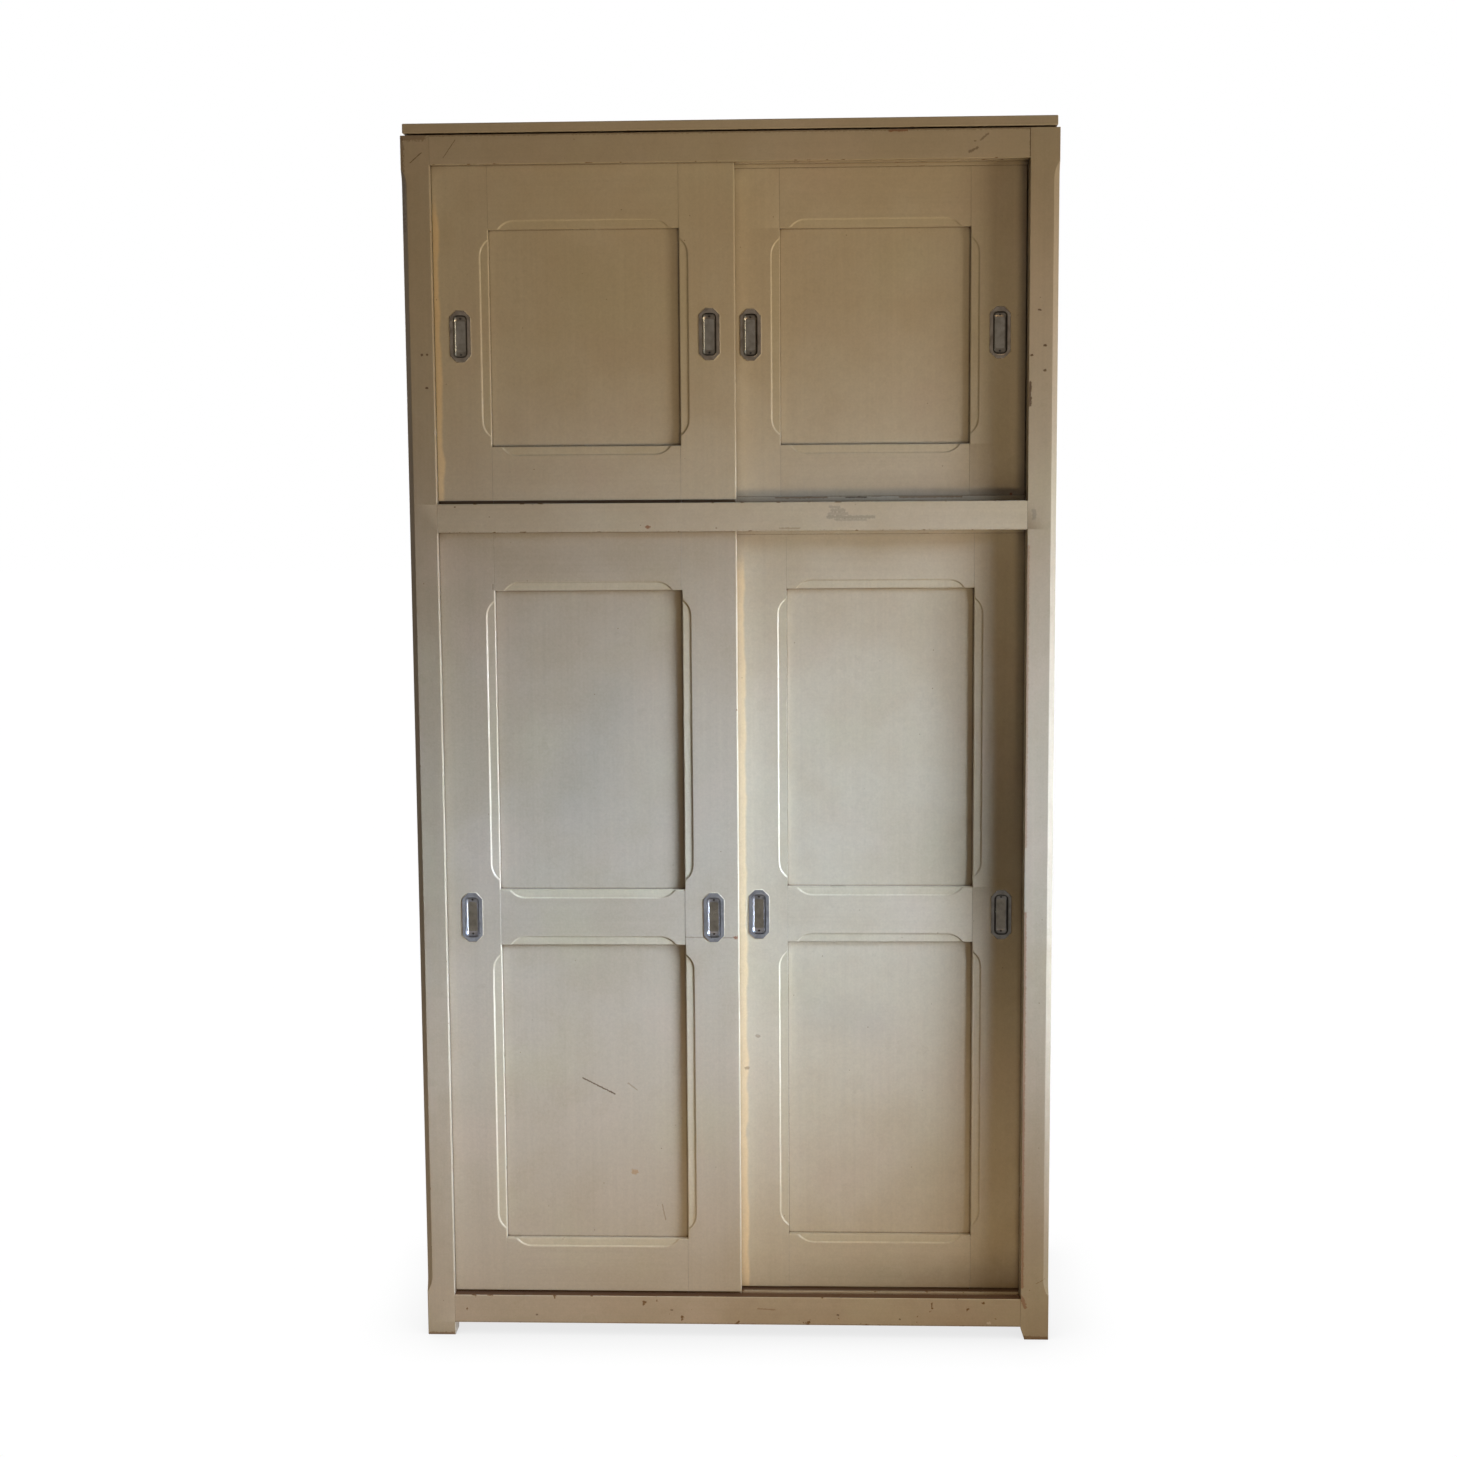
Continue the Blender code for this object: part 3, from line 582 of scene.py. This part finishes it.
def make_wood(name, light, dark, grain, ring_scale):
    """Bare softwood with grain lines along one axis."""
    graph = Graph(name)
    stretch = [1, 1, 1]
    stretch["XYZ".index(grain)] = ring_stretch
    rings = graph.noise(ring_scale, ring_detail, tuple(stretch))
    bands = graph.math("SINE", graph.product(rings, ring_count))
    fibre = graph.noise(*fibre_noise, grain_stretch[grain])
    share = graph.scaled(bands, band_share, graph.product(fibre, fibre_share))
    colour = graph.mix(graph.ramp(share, 0.0, 1.0), light, dark)
    # Painted shade: the bare wood darker in corners and recesses
    corner_shade = graph.ramp(graph.occlusion(wood_corner_shade_reach), *wood_corner_shade_range)
    stain = graph.product(graph.ramp(graph.noise(*stain_noise), *stain_range), stain_share)
    colour = graph.mix(graph.math("MAXIMUM", graph.product(corner_shade, wood_corner_shade_share), stain), colour, grime_and_shade)
    graph.feed(graph.shader.inputs["Base Color"], colour)
    graph.feed(graph.shader.inputs["Roughness"], graph.scaled(fibre, *wood_roughness))
    graph.feed(graph.shader.inputs["Specular IOR Level"], wood_shine)
    graph.bump(graph.scaled(bands, band_bump, fibre), *wood_bump)
    return graph.material


def make_metal(name, clean, tarnish, hollow_colour, lit_wall_colour=None):
    """Pressed metal, dulled and scuffed by fingers, with dirt in its hollows.

    The last argument is a painted highlight: the colour of the walls that face right, towards the window
    lamps.
    """
    graph = Graph(name)
    cloud = graph.noise(*cloud_noise)
    scuff = graph.noise(*scuff_noise, scuff_stretch)
    colour = graph.mix(graph.ramp(cloud, *tarnish_range), clean, tarnish)
    hollow = graph.ramp(graph.occlusion(hollow_reach), *hollow_range)
    colour = graph.mix(graph.product(hollow, hollow_share), colour, hollow_colour)
    # Painted highlight: walls that face right take the lighter colour
    if lit_wall_colour:
        colour = graph.mix(graph.ramp(graph.normal_x, *lit_wall_tilt), colour, lit_wall_colour)
    graph.feed(graph.shader.inputs["Base Color"], colour)
    graph.feed(graph.shader.inputs["Metallic"], 1.0)
    rough = graph.scaled(scuff, scuff_roughness, graph.scaled(cloud, *metal_roughness))
    graph.feed(graph.shader.inputs["Roughness"], rough)
    graph.bump(scuff, *metal_bump)
    return graph.material


# The kinds of paint: grain, colours, chip level and how far ledges are worn
no_chips = 2.0
door_colours = (cream, aged_cream)
dull_colours = (dull_cream, aged_dull_cream)
post_colours = (post_cream, aged_post_cream)
sill_colours = (sill_cream, aged_sill_cream)
shaded_side_colours = (shaded_side_cream, aged_shaded_side_cream)
margin_and_highlight_colours = (margin_cream_and_highlight, aged_margin_cream_and_highlight)
# Near-black painted shadow for the faces in the gap under the doors
gap_shade_colours = (crevice_dirt_and_shade, grime_and_shade)
paint_kinds = {
    "upright_paint": ("Z", door_colours, no_chips),
    "level_paint": ("X", door_colours, no_chips),
    "dull_upright_paint": ("Z", dull_colours, no_chips),
    "dull_level_paint": ("X", dull_colours, no_chips),
    "rail_paint": ("X", door_colours, no_chips, 0.9),
    "dull_rail_paint": ("X", dull_colours, no_chips, 0.9),
    "sill_paint": ("X", sill_colours, 0.670, 0.9),
    "post_paint": ("Z", post_colours, no_chips),
    "side_paint": ("Y", shaded_side_colours, no_chips),
    "side_panel_paint": ("Z", shaded_side_colours, no_chips),
    "margin_and_highlight_paint": ("Z", margin_and_highlight_colours, no_chips),
    "gap_shade_paint": ("X", gap_shade_colours, no_chips),
    "door_edge": ("Z", door_colours, 0.72),
    "rail_edge": ("X", door_colours, 0.62),
    "post_edge": ("Z", post_colours, 0.66),
    "top_edge": ("X", door_colours, 0.66),
}
shared_paints = {name: make_paint(name, *settings) for name, settings in paint_kinds.items()}
bare_wood = make_wood("bare_wood", (0.47, 0.31, 0.17), (0.33, 0.20, 0.10), "X", 9.0)
plywood = make_wood("plywood", (0.50, 0.36, 0.21), (0.38, 0.25, 0.13), "Z", 5.0)

# Metals of the pulls, by tier: browner above and bluer below, partly tarnish and partly painted reflection
# of room and window, with the lower cups' floors darker as painted shade. One pull, in the right post's
# shadow, has darker metals as painted shade: its plate, and its cup's floor and wall
pull_metals = {
    "upper": [
        make_metal("upper_plate", (0.125, 0.098, 0.072), (0.075, 0.056, 0.040), (0.050, 0.040, 0.030)),
        make_metal("upper_floor", (0.125, 0.105, 0.082), (0.085, 0.070, 0.052), (0.045, 0.036, 0.027)),
        make_metal("upper_wall", (0.085, 0.068, 0.050), (0.060, 0.047, 0.035), (0.035, 0.028, 0.020),
                   (0.36, 0.335, 0.27)),
    ],
    "lower": [
        make_metal("lower_plate", (0.20, 0.21, 0.235), (0.13, 0.135, 0.15), (0.065, 0.060, 0.057)),
        make_metal("lower_floor", (0.135, 0.120, 0.098), (0.095, 0.084, 0.068), (0.060, 0.050, 0.040)),
        make_metal("lower_wall", (0.16, 0.155, 0.16), (0.10, 0.095, 0.095), (0.050, 0.044, 0.038),
                   (0.62, 0.66, 0.74)),
    ],
    "lower_right_door_right_pull": [
        make_metal("shaded_plate", (0.086, 0.078, 0.068), (0.056, 0.050, 0.043), (0.038, 0.033, 0.028)),
        make_metal("shaded_floor", (0.100, 0.086, 0.068), (0.068, 0.058, 0.046), (0.045, 0.037, 0.029)),
        make_metal("shaded_wall", (0.095, 0.086, 0.076), (0.065, 0.058, 0.051), (0.038, 0.033, 0.028),
                   (0.22, 0.21, 0.195)),
    ],
}
nail_metal = make_metal("nail_metal", (0.03, 0.024, 0.020), (0.015, 0.012, 0.010), (0.01, 0.008, 0.006))


def paint_of(node, kind):
    """The paint of a kind, or one of the node's own where it has marks."""
    own = {}
    if node in marks:
        own["spots"] = marks[node]
    if node in soft_hazes:
        own["hazes"] = soft_hazes[node]
    if node in bounce_strips:
        own["yellow_to"] = bounce_strips[node]
    if node in dirt_and_shade_levels:
        own["settled_to"] = dirt_and_shade_levels[node]
    if not own:
        return shared_paints[kind]
    return make_paint(node + "_paint", *paint_kinds[kind], **own)


# Pieces
def set_smoothness(mesh):
    """Shade a mesh smooth, with sharp edges where its faces meet at a large angle."""
    shape = bmesh.new()
    shape.from_mesh(mesh)
    for face in shape.faces:
        face.smooth = True
    for edge in shape.edges:
        edge.smooth = edge.calc_face_angle(math.pi) < sharp_angle
    shape.to_mesh(mesh)
    shape.free()
    own_normals = mesh.attributes.get("custom_normal")
    if own_normals:
        mesh.attributes.remove(own_normals)


def add_piece(name, mesh, node):
    """Place a mesh as a new piece that goes with a node."""
    mesh.name = name
    set_smoothness(mesh)
    piece = bpy.data.objects.new(name, mesh)
    bpy.context.collection.objects.link(piece)
    even = piece.modifiers.new("even_normals", "WEIGHTED_NORMAL")
    even.keep_sharp = True
    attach(piece, body_of_node[node])
    return piece


def own_shape(node):
    """A node's mesh, welded and with its flat faces whole."""
    shape = bmesh.new()
    shape.from_mesh(nodes[node].data)
    bmesh.ops.remove_doubles(shape, verts=shape.verts, dist=weld_distance)
    bmesh.ops.dissolve_limit(shape, angle_limit=flat_angle, verts=shape.verts, edges=shape.edges)
    return shape


def dress(node, radius_at, materials, cut_levels=(), gap_shade_below=None):
    """Stand for a node with a copy whose arrises are worn round, by a radius for each edge.

    The last material goes on the arrises. A door's pieces have a second one for what is below a level, a
    near-black painted shadow for the gap under the door, and a third for what is sunk behind the face, whose
    lighter cream is partly a painted highlight.
    """
    shape = own_shape(node)
    for level in cut_levels:
        everything = shape.verts[:] + shape.edges[:] + shape.faces[:]
        bmesh.ops.bisect_plane(shape, geom=everything, plane_co=(0, 0, level), plane_no=(0, 0, 1))
    weight = shape.edges.layers.float.new("bevel_weight_edge")
    for edge in shape.edges:
        if len(edge.link_faces) == 2 and edge.is_convex and edge.calc_face_angle() > convex_angle:
            first, second = (vertex.co for vertex in edge.verts)
            edge[weight] = radius_at((first + second) / 2, (second - first).normalized()) / largest_arris
    face_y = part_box(node)[0].y
    for face in shape.faces:
        centre = face.calc_center_bounds()
        # Faces below the level get the near-black painted shadow of the gap under the door
        if gap_shade_below is not None and centre.z < gap_shade_below:
            face.material_index = gap_shade_index
        elif len(materials) > sunk_index + 1 and face_y + level_tolerance < centre.y < face_y + front_band:
            face.material_index = sunk_index
    mesh = bpy.data.meshes.new(node)
    shape.to_mesh(mesh)
    shape.free()
    for material in materials:
        mesh.materials.append(material)
    sharp = bpy.data.objects.new(node, mesh)
    bpy.context.collection.objects.link(sharp)
    bevel = sharp.modifiers.new("worn_arris", "BEVEL")
    bevel.limit_method = "WEIGHT"
    bevel.width = largest_arris
    bevel.segments = arris_steps
    bevel.material = len(materials) - 1
    graph = bpy.context.evaluated_depsgraph_get()
    worn = bpy.data.meshes.new_from_object(sharp.evaluated_get(graph))
    bpy.data.objects.remove(sharp)
    bpy.data.meshes.remove(mesh)
    piece = add_piece(node + "_worn", worn, node)
    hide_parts(node)


def soften(node, width, materials):
    """Give a node its finish, and round its sharp edges with modifiers."""
    piece = nodes[node]
    piece.data.materials.clear()
    for material in materials:
        piece.data.materials.append(material)
    weld = piece.modifiers.new("weld", "WELD")
    weld.merge_threshold = weld_distance
    flat = piece.modifiers.new("flat", "DECIMATE")
    flat.decimate_type = "DISSOLVE"
    flat.angle_limit = flat_angle
    bevel = piece.modifiers.new("worn_arris", "BEVEL")
    bevel.limit_method = "ANGLE"
    bevel.angle_limit = soften_angle
    bevel.width = width
    bevel.segments = soften_steps
    bevel.material = len(materials) - 1


def near(first, second):
    return abs(first - second) < level_tolerance


def door_rails(door):
    return [node for node in bodies[door] if node.endswith("_rail")]


def dress_stile(node, door, materials):
    low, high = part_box(node)
    is_left = node.endswith("left_stile")
    outer, inner = (low.x, high.x) if is_left else (high.x, low.x)
    outer_arris = sheet_arris if is_left else meeting_arris
    joints = [(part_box(rail)[0].z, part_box(rail)[1].z) for rail in door_rails(door)]
    plate_low, plate_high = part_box(node.replace("_stile", "_pull"))

    def radius_at(middle, along):
        if near(middle.x, outer):
            return outer_arris if abs(along.z) > straight else 0
        if middle.y > low.y + front_band:
            return 0
        if near(middle.x, inner):
            at_joint = any(base < middle.z < top for base, top in joints)
            return 0 if at_joint else opening_arris
        if plate_low.x < middle.x < plate_high.x and plate_low.z < middle.z < plate_high.z:
            return 0
        return margin_arris

    levels = [level for joint in joints for level in joint
              if low.z + front_band < level < high.z - front_band]
    dress(node, radius_at, materials, levels, low.z + sill_tongue + level_tolerance)


def dress_door_rail(node, materials):
    low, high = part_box(node)
    openings = [high.z] if node.endswith("bottom_rail") else [low.z]
    if node.endswith("lock_rail"):
        openings = [low.z, high.z]

    def radius_at(middle, along):
        if middle.y > low.y + front_band or abs(along.z) > straight:
            return 0
        if any(near(middle.z, level) for level in openings):
            return opening_arris
        return margin_arris

    has_tongue = node.endswith("bottom_rail")
    dress(node, radius_at, materials, (), low.z + sill_tongue + level_tolerance if has_tongue else None)


def dress_front_rail(node, materials):
    low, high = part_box(node)

    def radius_at(middle, along):
        if abs(along.x) < straight:
            return 0
        if node == "top_front_rail" and near(middle.z, high.z):
            return sheet_arris
        return rail_arris if near(middle.y, low.y) else lip_arris

    dress(node, radius_at, materials)


def dress_post(node, materials):
    low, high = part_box(node)
    is_left = "left" in node
    outer, inner = (low.x, high.x) if is_left else (high.x, low.x)
    is_front = node.startswith("front")
    face = low.y if is_front else high.y
    joints = [(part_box(rail)[0].z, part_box(rail)[1].z) for rail in front_rails]

    def radius_at(middle, along):
        on_face = near(middle.y, face)
        if near(middle.x, inner):
            at_joint = any(base < middle.z < top for base, top in joints)
            return post_arris if on_face and is_front and not at_joint else 0
        if near(middle.z, low.z):
            return lip_arris
        if near(middle.z, high.z):
            return sheet_arris
        if on_face and near(middle.x, outer):
            return post_arris
        if is_front and (on_face or near(middle.x, outer)):
            return chamfer_arris
        return 0

    levels = []
    if is_front:
        levels = [level for joint in joints for level in joint if level < high.z - front_band]
    dress(node, radius_at, materials, levels)


front_rails = {
    "bottom_front_rail": "sill_paint",
    "middle_front_rail": "rail_paint",
    "top_front_rail": "dull_rail_paint",
}


# Flush pulls, their nails and the paint round them
def corner_loop(width, height, corner, roundness, depth):
    """An upright loop of points whose corners go from cut off, at roundness 0, to round, at 1."""
    x, z = width / 2 - corner, height / 2 - corner
    points = []
    for quarter, (centre_x, centre_z) in enumerate(((x, z), (-x, z), (-x, -z), (x, -z))):
        ends = []
        for turn in (quarter, quarter + 1):
            angle = math.pi / 2 * turn
            ends.append(Vector((math.cos(angle), math.sin(angle))))
        for step in range(corner_steps + 1):
            share = step / corner_steps
            angle = math.pi / 2 * (quarter + share)
            bent = Vector((math.cos(angle), math.sin(angle)))
            offset = ends[0].lerp(ends[1], share).lerp(bent, roundness) * corner
            points.append(Vector((centre_x + offset.x, depth, centre_z + offset.y)))
    return points


def close_mesh(shape):
    bmesh.ops.recalc_face_normals(shape, faces=shape.faces)
    mesh = bpy.data.meshes.new("closed")
    shape.to_mesh(mesh)
    shape.free()
    return mesh


def join_loops(shape, loops, ring=False):
    """Skin loops of points, capped at both ends, or joined from the last to the first as a ring."""
    rings = [[shape.verts.new(point) for point in loop] for loop in loops]
    count = len(rings[0])
    pairs = list(zip(rings, rings[1:]))
    if ring:
        pairs.append((rings[-1], rings[0]))
    else:
        shape.faces.new(rings[0])
        shape.faces.new(rings[-1])
    for first, second in pairs:
        for index in range(count):
            after = (index + 1) % count
            shape.faces.new((first[index], first[after], second[after], second[index]))


def cup_inset(angle):
    """How far inside the mouth the cup's wall is, at its sides and its ends, and its depth."""
    fall = (1 - math.cos(angle)) / (1 - math.cos(cup_turn))
    lip = bead_profile[-1][1]
    depth = lip + (cup_depth - lip) * math.sin(angle) / math.sin(cup_turn)
    return cup_wall[0] * fall, cup_wall[1] * fall, depth


def pull_loops(width, height):
    mouth_x, mouth_z = cup_mouth

    def outside_mouth(grow, depth):
        return corner_loop(mouth_x + 2 * grow, mouth_z + 2 * grow, cup_corner + grow, 1, depth)

    loops = [outside_mouth(shell_grow, shell_back), outside_mouth(shell_grow, plate_profile[0][1])]
    for inset, depth in plate_profile:
        loops.append(corner_loop(width - 2 * inset, height - 2 * inset, plate_corner, 0, depth))
    for grow, depth in bead_profile:
        loops.append(outside_mouth(grow, depth))
    for step in range(1, cup_steps + 1):
        share = step / cup_steps
        side, end, depth = cup_inset(cup_turn * share)
        corner = cup_corner + (cup_floor_corner - cup_corner) * share
        loops.append(corner_loop(mouth_x - 2 * side, mouth_z - 2 * end, corner, 1, depth))
    return loops


def add_nails(node, place):
    """Two domed nail heads on the slopes at the cup's ends."""
    shape = bmesh.new()
    share = (cup_mouth[1] / 2 - nail_level) / cup_wall[1]
    angle = math.acos(1 - share * (1 - math.cos(cup_turn)))
    depth = cup_inset(angle)[2]
    run = cup_wall[1] * math.sin(angle) / (1 - math.cos(cup_turn))
    fall = cup_depth * math.cos(angle) / math.sin(cup_turn)
    for side in (-1, 1):
        outward = Vector((0, -run, -side * fall)).normalized()
        across = Vector((1, 0, 0))
        along = outward.cross(across)
        centre = place + Vector((0, depth, side * nail_level))
        loops = []
        for ring in range(-1, nail_rings):
            lift = math.pi / 2 * max(ring, 0) / nail_rings
            radius = nail_radius * math.cos(lift)
            height = nail_height * math.sin(lift) if ring >= 0 else -nail_root
            loop = []
            for corner in range(nail_sides):
                turn = 2 * math.pi * corner / nail_sides
                spoke = across * math.cos(turn) + along * math.sin(turn)
                loop.append(centre + spoke * radius + outward * height)
            loops.append(loop)
        join_loops(shape, loops)
    mesh = close_mesh(shape)
    mesh.materials.append(nail_metal)
    piece = add_piece(node + "_nails", mesh, node)


def add_paint_ridge(node, place, width, height, face_depth, chance):
    """The uneven ridge of paint where brushes met the plate's edge."""
    outline = corner_loop(width, height, plate_corner, 0, 0)
    corners = outline[::corner_steps + 1] + outline[corner_steps::corner_steps + 1]
    corners.sort(key=lambda point: math.atan2(point.z, point.x))
    loops = [[], [], [], []]
    for first, second in zip(corners, corners[1:] + corners[:1]):
        steps = max(2, round((second - first).length / ridge_step))
        outward = Vector((second.z - first.z, 0, first.x - second.x)).normalized()
        for step in range(steps):
            point = place + first.lerp(second, (step + 0.5) / steps)
            reach = ridge_width * chance.uniform(*ridge_widths)
            rise = ridge_height * chance.uniform(*ridge_heights)
            shoulder = (reach * ridge_shoulder[0], face_depth - rise * ridge_shoulder[1])
            section = ((0.0, face_depth), (0.0, face_depth - rise), shoulder, (reach, face_depth))
            for loop, (out, depth) in zip(loops, section):
                loop.append(point + outward * out + Vector((0, depth, 0)))
    shape = bmesh.new()
    join_loops(shape, loops, ring=True)
    mesh = close_mesh(shape)
    mesh.materials.append(shared_paints["upright_paint"])
    piece = add_piece(node + "_paint_ridge", mesh, node)


def dress_pull(node, chance):
    low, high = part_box(node)
    place = Vector(((low.x + high.x) / 2, low.y, (low.z + high.z) / 2))
    width, height = high.x - low.x, high.z - low.z
    shape = bmesh.new()
    join_loops(shape, [[place + point for point in loop] for loop in pull_loops(width, height)])
    mesh = close_mesh(shape)
    for material in pull_metals.get(node, pull_metals[node.split("_")[0]]):
        mesh.materials.append(material)
    for polygon in mesh.polygons:
        offset = polygon.center - place
        within_mouth = abs(offset.x) < cup_mouth[0] / 2 and abs(offset.z) < cup_mouth[1] / 2
        if within_mouth and polygon.normal.y < 0:
            polygon.material_index = cup_floor_index if polygon.normal.y < -straight else cup_wall_index
    piece = add_piece(node + "_worn", mesh, node)
    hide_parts(node)
    add_nails(node, place)
    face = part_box(node.replace("_pull", "_stile"))[0].y
    add_paint_ridge(node, place, width, height, face - low.y, chance)


def dress_doors():
    chance = random.Random(ridge_seed)
    others = [shared_paints[kind] for kind in ("gap_shade_paint", "margin_and_highlight_paint", "door_edge")]
    for door, members in bodies.items():
        dull = "dull_" if door == "lower_left_door" else ""
        for node in members:
            if node.endswith("_stile"):
                dress_stile(node, door, [paint_of(node, dull + "upright_paint"), *others])
            elif node.endswith("_pull"):
                dress_pull(node, chance)
            elif "_door_" in node and node.endswith("_rail"):
                dress_door_rail(node, [paint_of(node, dull + "level_paint"), *others])
            elif "_door_" in node:
                soften(node, sheet_arris, [paint_of(node, dull + "upright_paint")])


def dress_case():
    for node in front_rails:
        dress_front_rail(node, [paint_of(node, front_rails[node]), shared_paints["rail_edge"]])
    for node in bodies["case"]:
        if node.endswith("_post"):
            dress_post(node, [paint_of(node, "post_paint"), shared_paints["post_edge"]])
        elif node.endswith("_rear_track"):
            soften(node, lip_arris, [paint_of(node, "rail_paint"), shared_paints["rail_edge"]])
        elif node.endswith("_side_rail"):
            soften(node, rail_arris, [paint_of(node, "side_paint"), shared_paints["post_edge"]])
        elif node.endswith("_side_panel"):
            soften(node, sheet_arris, [shared_paints["side_panel_paint"]])
    soften("top_board", sheet_arris, [shared_paints["dull_level_paint"], shared_paints["top_edge"]])
    soften("back_panel", sheet_arris, [plywood])
    for node in ("bottom_board", "middle_deck", "shelf", "left_shelf_cleat", "right_shelf_cleat"):
        soften(node, lip_arris, [bare_wood])


# Stage
def add_camera():
    forward = Vector((math.sin(camera_yaw) * math.cos(camera_pitch),
                      math.cos(camera_yaw) * math.cos(camera_pitch), -math.sin(camera_pitch)))
    level = Vector((math.cos(camera_yaw), -math.sin(camera_yaw), 0))
    down = forward.cross(level)
    right = level * math.cos(camera_roll) + down * math.sin(camera_roll)
    below = down * math.cos(camera_roll) - level * math.sin(camera_roll)
    data = bpy.data.cameras.new("camera")
    data.lens = camera_lens
    camera = bpy.data.objects.new("camera", data)
    bpy.context.collection.objects.link(camera)
    turned = Matrix((right, -below, -forward)).transposed().to_4x4()
    camera.matrix_world = Matrix.Translation(camera_place) @ turned
    bpy.context.scene.camera = camera


def add_lamp(name, place, target, size, power, colour, spread):
    data = bpy.data.lights.new(name, "AREA")
    data.shape = "RECTANGLE"
    data.size, data.size_y = size
    data.energy = power
    data.color = colour
    data.spread = math.radians(spread)
    lamp = bpy.data.objects.new(name, data)
    bpy.context.collection.objects.link(lamp)
    lamp.location = place
    lamp.rotation_euler = (Vector(target) - lamp.location).to_track_quat("-Z", "Y").to_euler()


def add_window():
    for bearing, share in window_bearings.items():
        turn = math.radians(bearing)
        for row, (rise, row_share) in enumerate(window_rises.items()):
            reach = Vector((window_distance * math.sin(turn), -window_distance * math.cos(turn), rise))
            power = window_level * share * row_share / math.cos(turn)
            add_lamp(f"window_{bearing}_{row}", window_aim + reach, window_aim, window_size, power,
                     window_colour, window_spread)


def seen_directly(nodes, links):
    """1 for what the camera sees, also in metal and through glass, and 0 for light on the object."""
    path = nodes.new("ShaderNodeLightPath")
    total = path.outputs["Is Camera Ray"]
    for name in ("Is Glossy Ray", "Is Transmission Ray"):
        node = nodes.new("ShaderNodeMath")
        node.operation = "MAXIMUM"
        links.new(total, node.inputs[0])
        links.new(path.outputs[name], node.inputs[1])
        total = node.outputs[0]
    return total


def set_world():
    world = bpy.data.worlds.new("studio")
    world.use_nodes = True
    bpy.context.scene.world = world
    nodes = world.node_tree.nodes
    links = world.node_tree.links
    shown = nodes.new("ShaderNodeBackground")
    shown.inputs["Color"].default_value = (*white, 1)
    room = nodes["Background"]
    room.inputs["Color"].default_value = (*room_light, 1)
    choose = nodes.new("ShaderNodeMixShader")
    links.new(seen_directly(nodes, links), choose.inputs[0])
    links.new(room.outputs[0], choose.inputs[1])
    links.new(shown.outputs[0], choose.inputs[2])
    links.new(choose.outputs[0], nodes["World Output"].inputs[0])


def add_floor():
    material = bpy.data.materials.new("floor")
    material.use_nodes = True
    nodes = material.node_tree.nodes
    links = material.node_tree.links
    nodes.remove(nodes["Principled BSDF"])
    matt = nodes.new("ShaderNodeBsdfDiffuse")
    matt.inputs["Color"].default_value = (*floor_colour, 1)
    openness = nodes.new("ShaderNodeAmbientOcclusion")
    openness.samples = shadow_samples
    openness.inputs["Distance"].default_value = shadow_reach
    shade = nodes.new("ShaderNodeMath")
    shade.operation = "MULTIPLY_ADD"
    links.new(openness.outputs["AO"], shade.inputs[0])
    shade.inputs[1].default_value = shadow_depth
    shade.inputs[2].default_value = floor_white - shadow_depth
    pale = nodes.new("ShaderNodeEmission")
    pale.inputs["Color"].default_value = (*white, 1)
    links.new(shade.outputs[0], pale.inputs["Strength"])
    choose = nodes.new("ShaderNodeMixShader")
    links.new(seen_directly(nodes, links), choose.inputs[0])
    links.new(matt.outputs[0], choose.inputs[1])
    links.new(pale.outputs[0], choose.inputs[2])
    links.new(choose.outputs[0], nodes["Material Output"].inputs[0])
    corners = [(-floor_half, -floor_half, 0), (floor_half, -floor_half, 0),
               (floor_half, floor_half, 0), (-floor_half, floor_half, 0)]
    mesh = bpy.data.meshes.new("floor")
    mesh.from_pydata(corners, [], [(0, 1, 2, 3)])
    mesh.materials.append(material)
    floor = bpy.data.objects.new("floor", mesh)
    bpy.context.collection.objects.link(floor)


dress_doors()
dress_case()
add_camera()
set_world()
add_floor()
add_window()
for name, settings in lamps.items():
    add_lamp(name, *settings)
bpy.context.scene.view_settings.view_transform = "Standard"
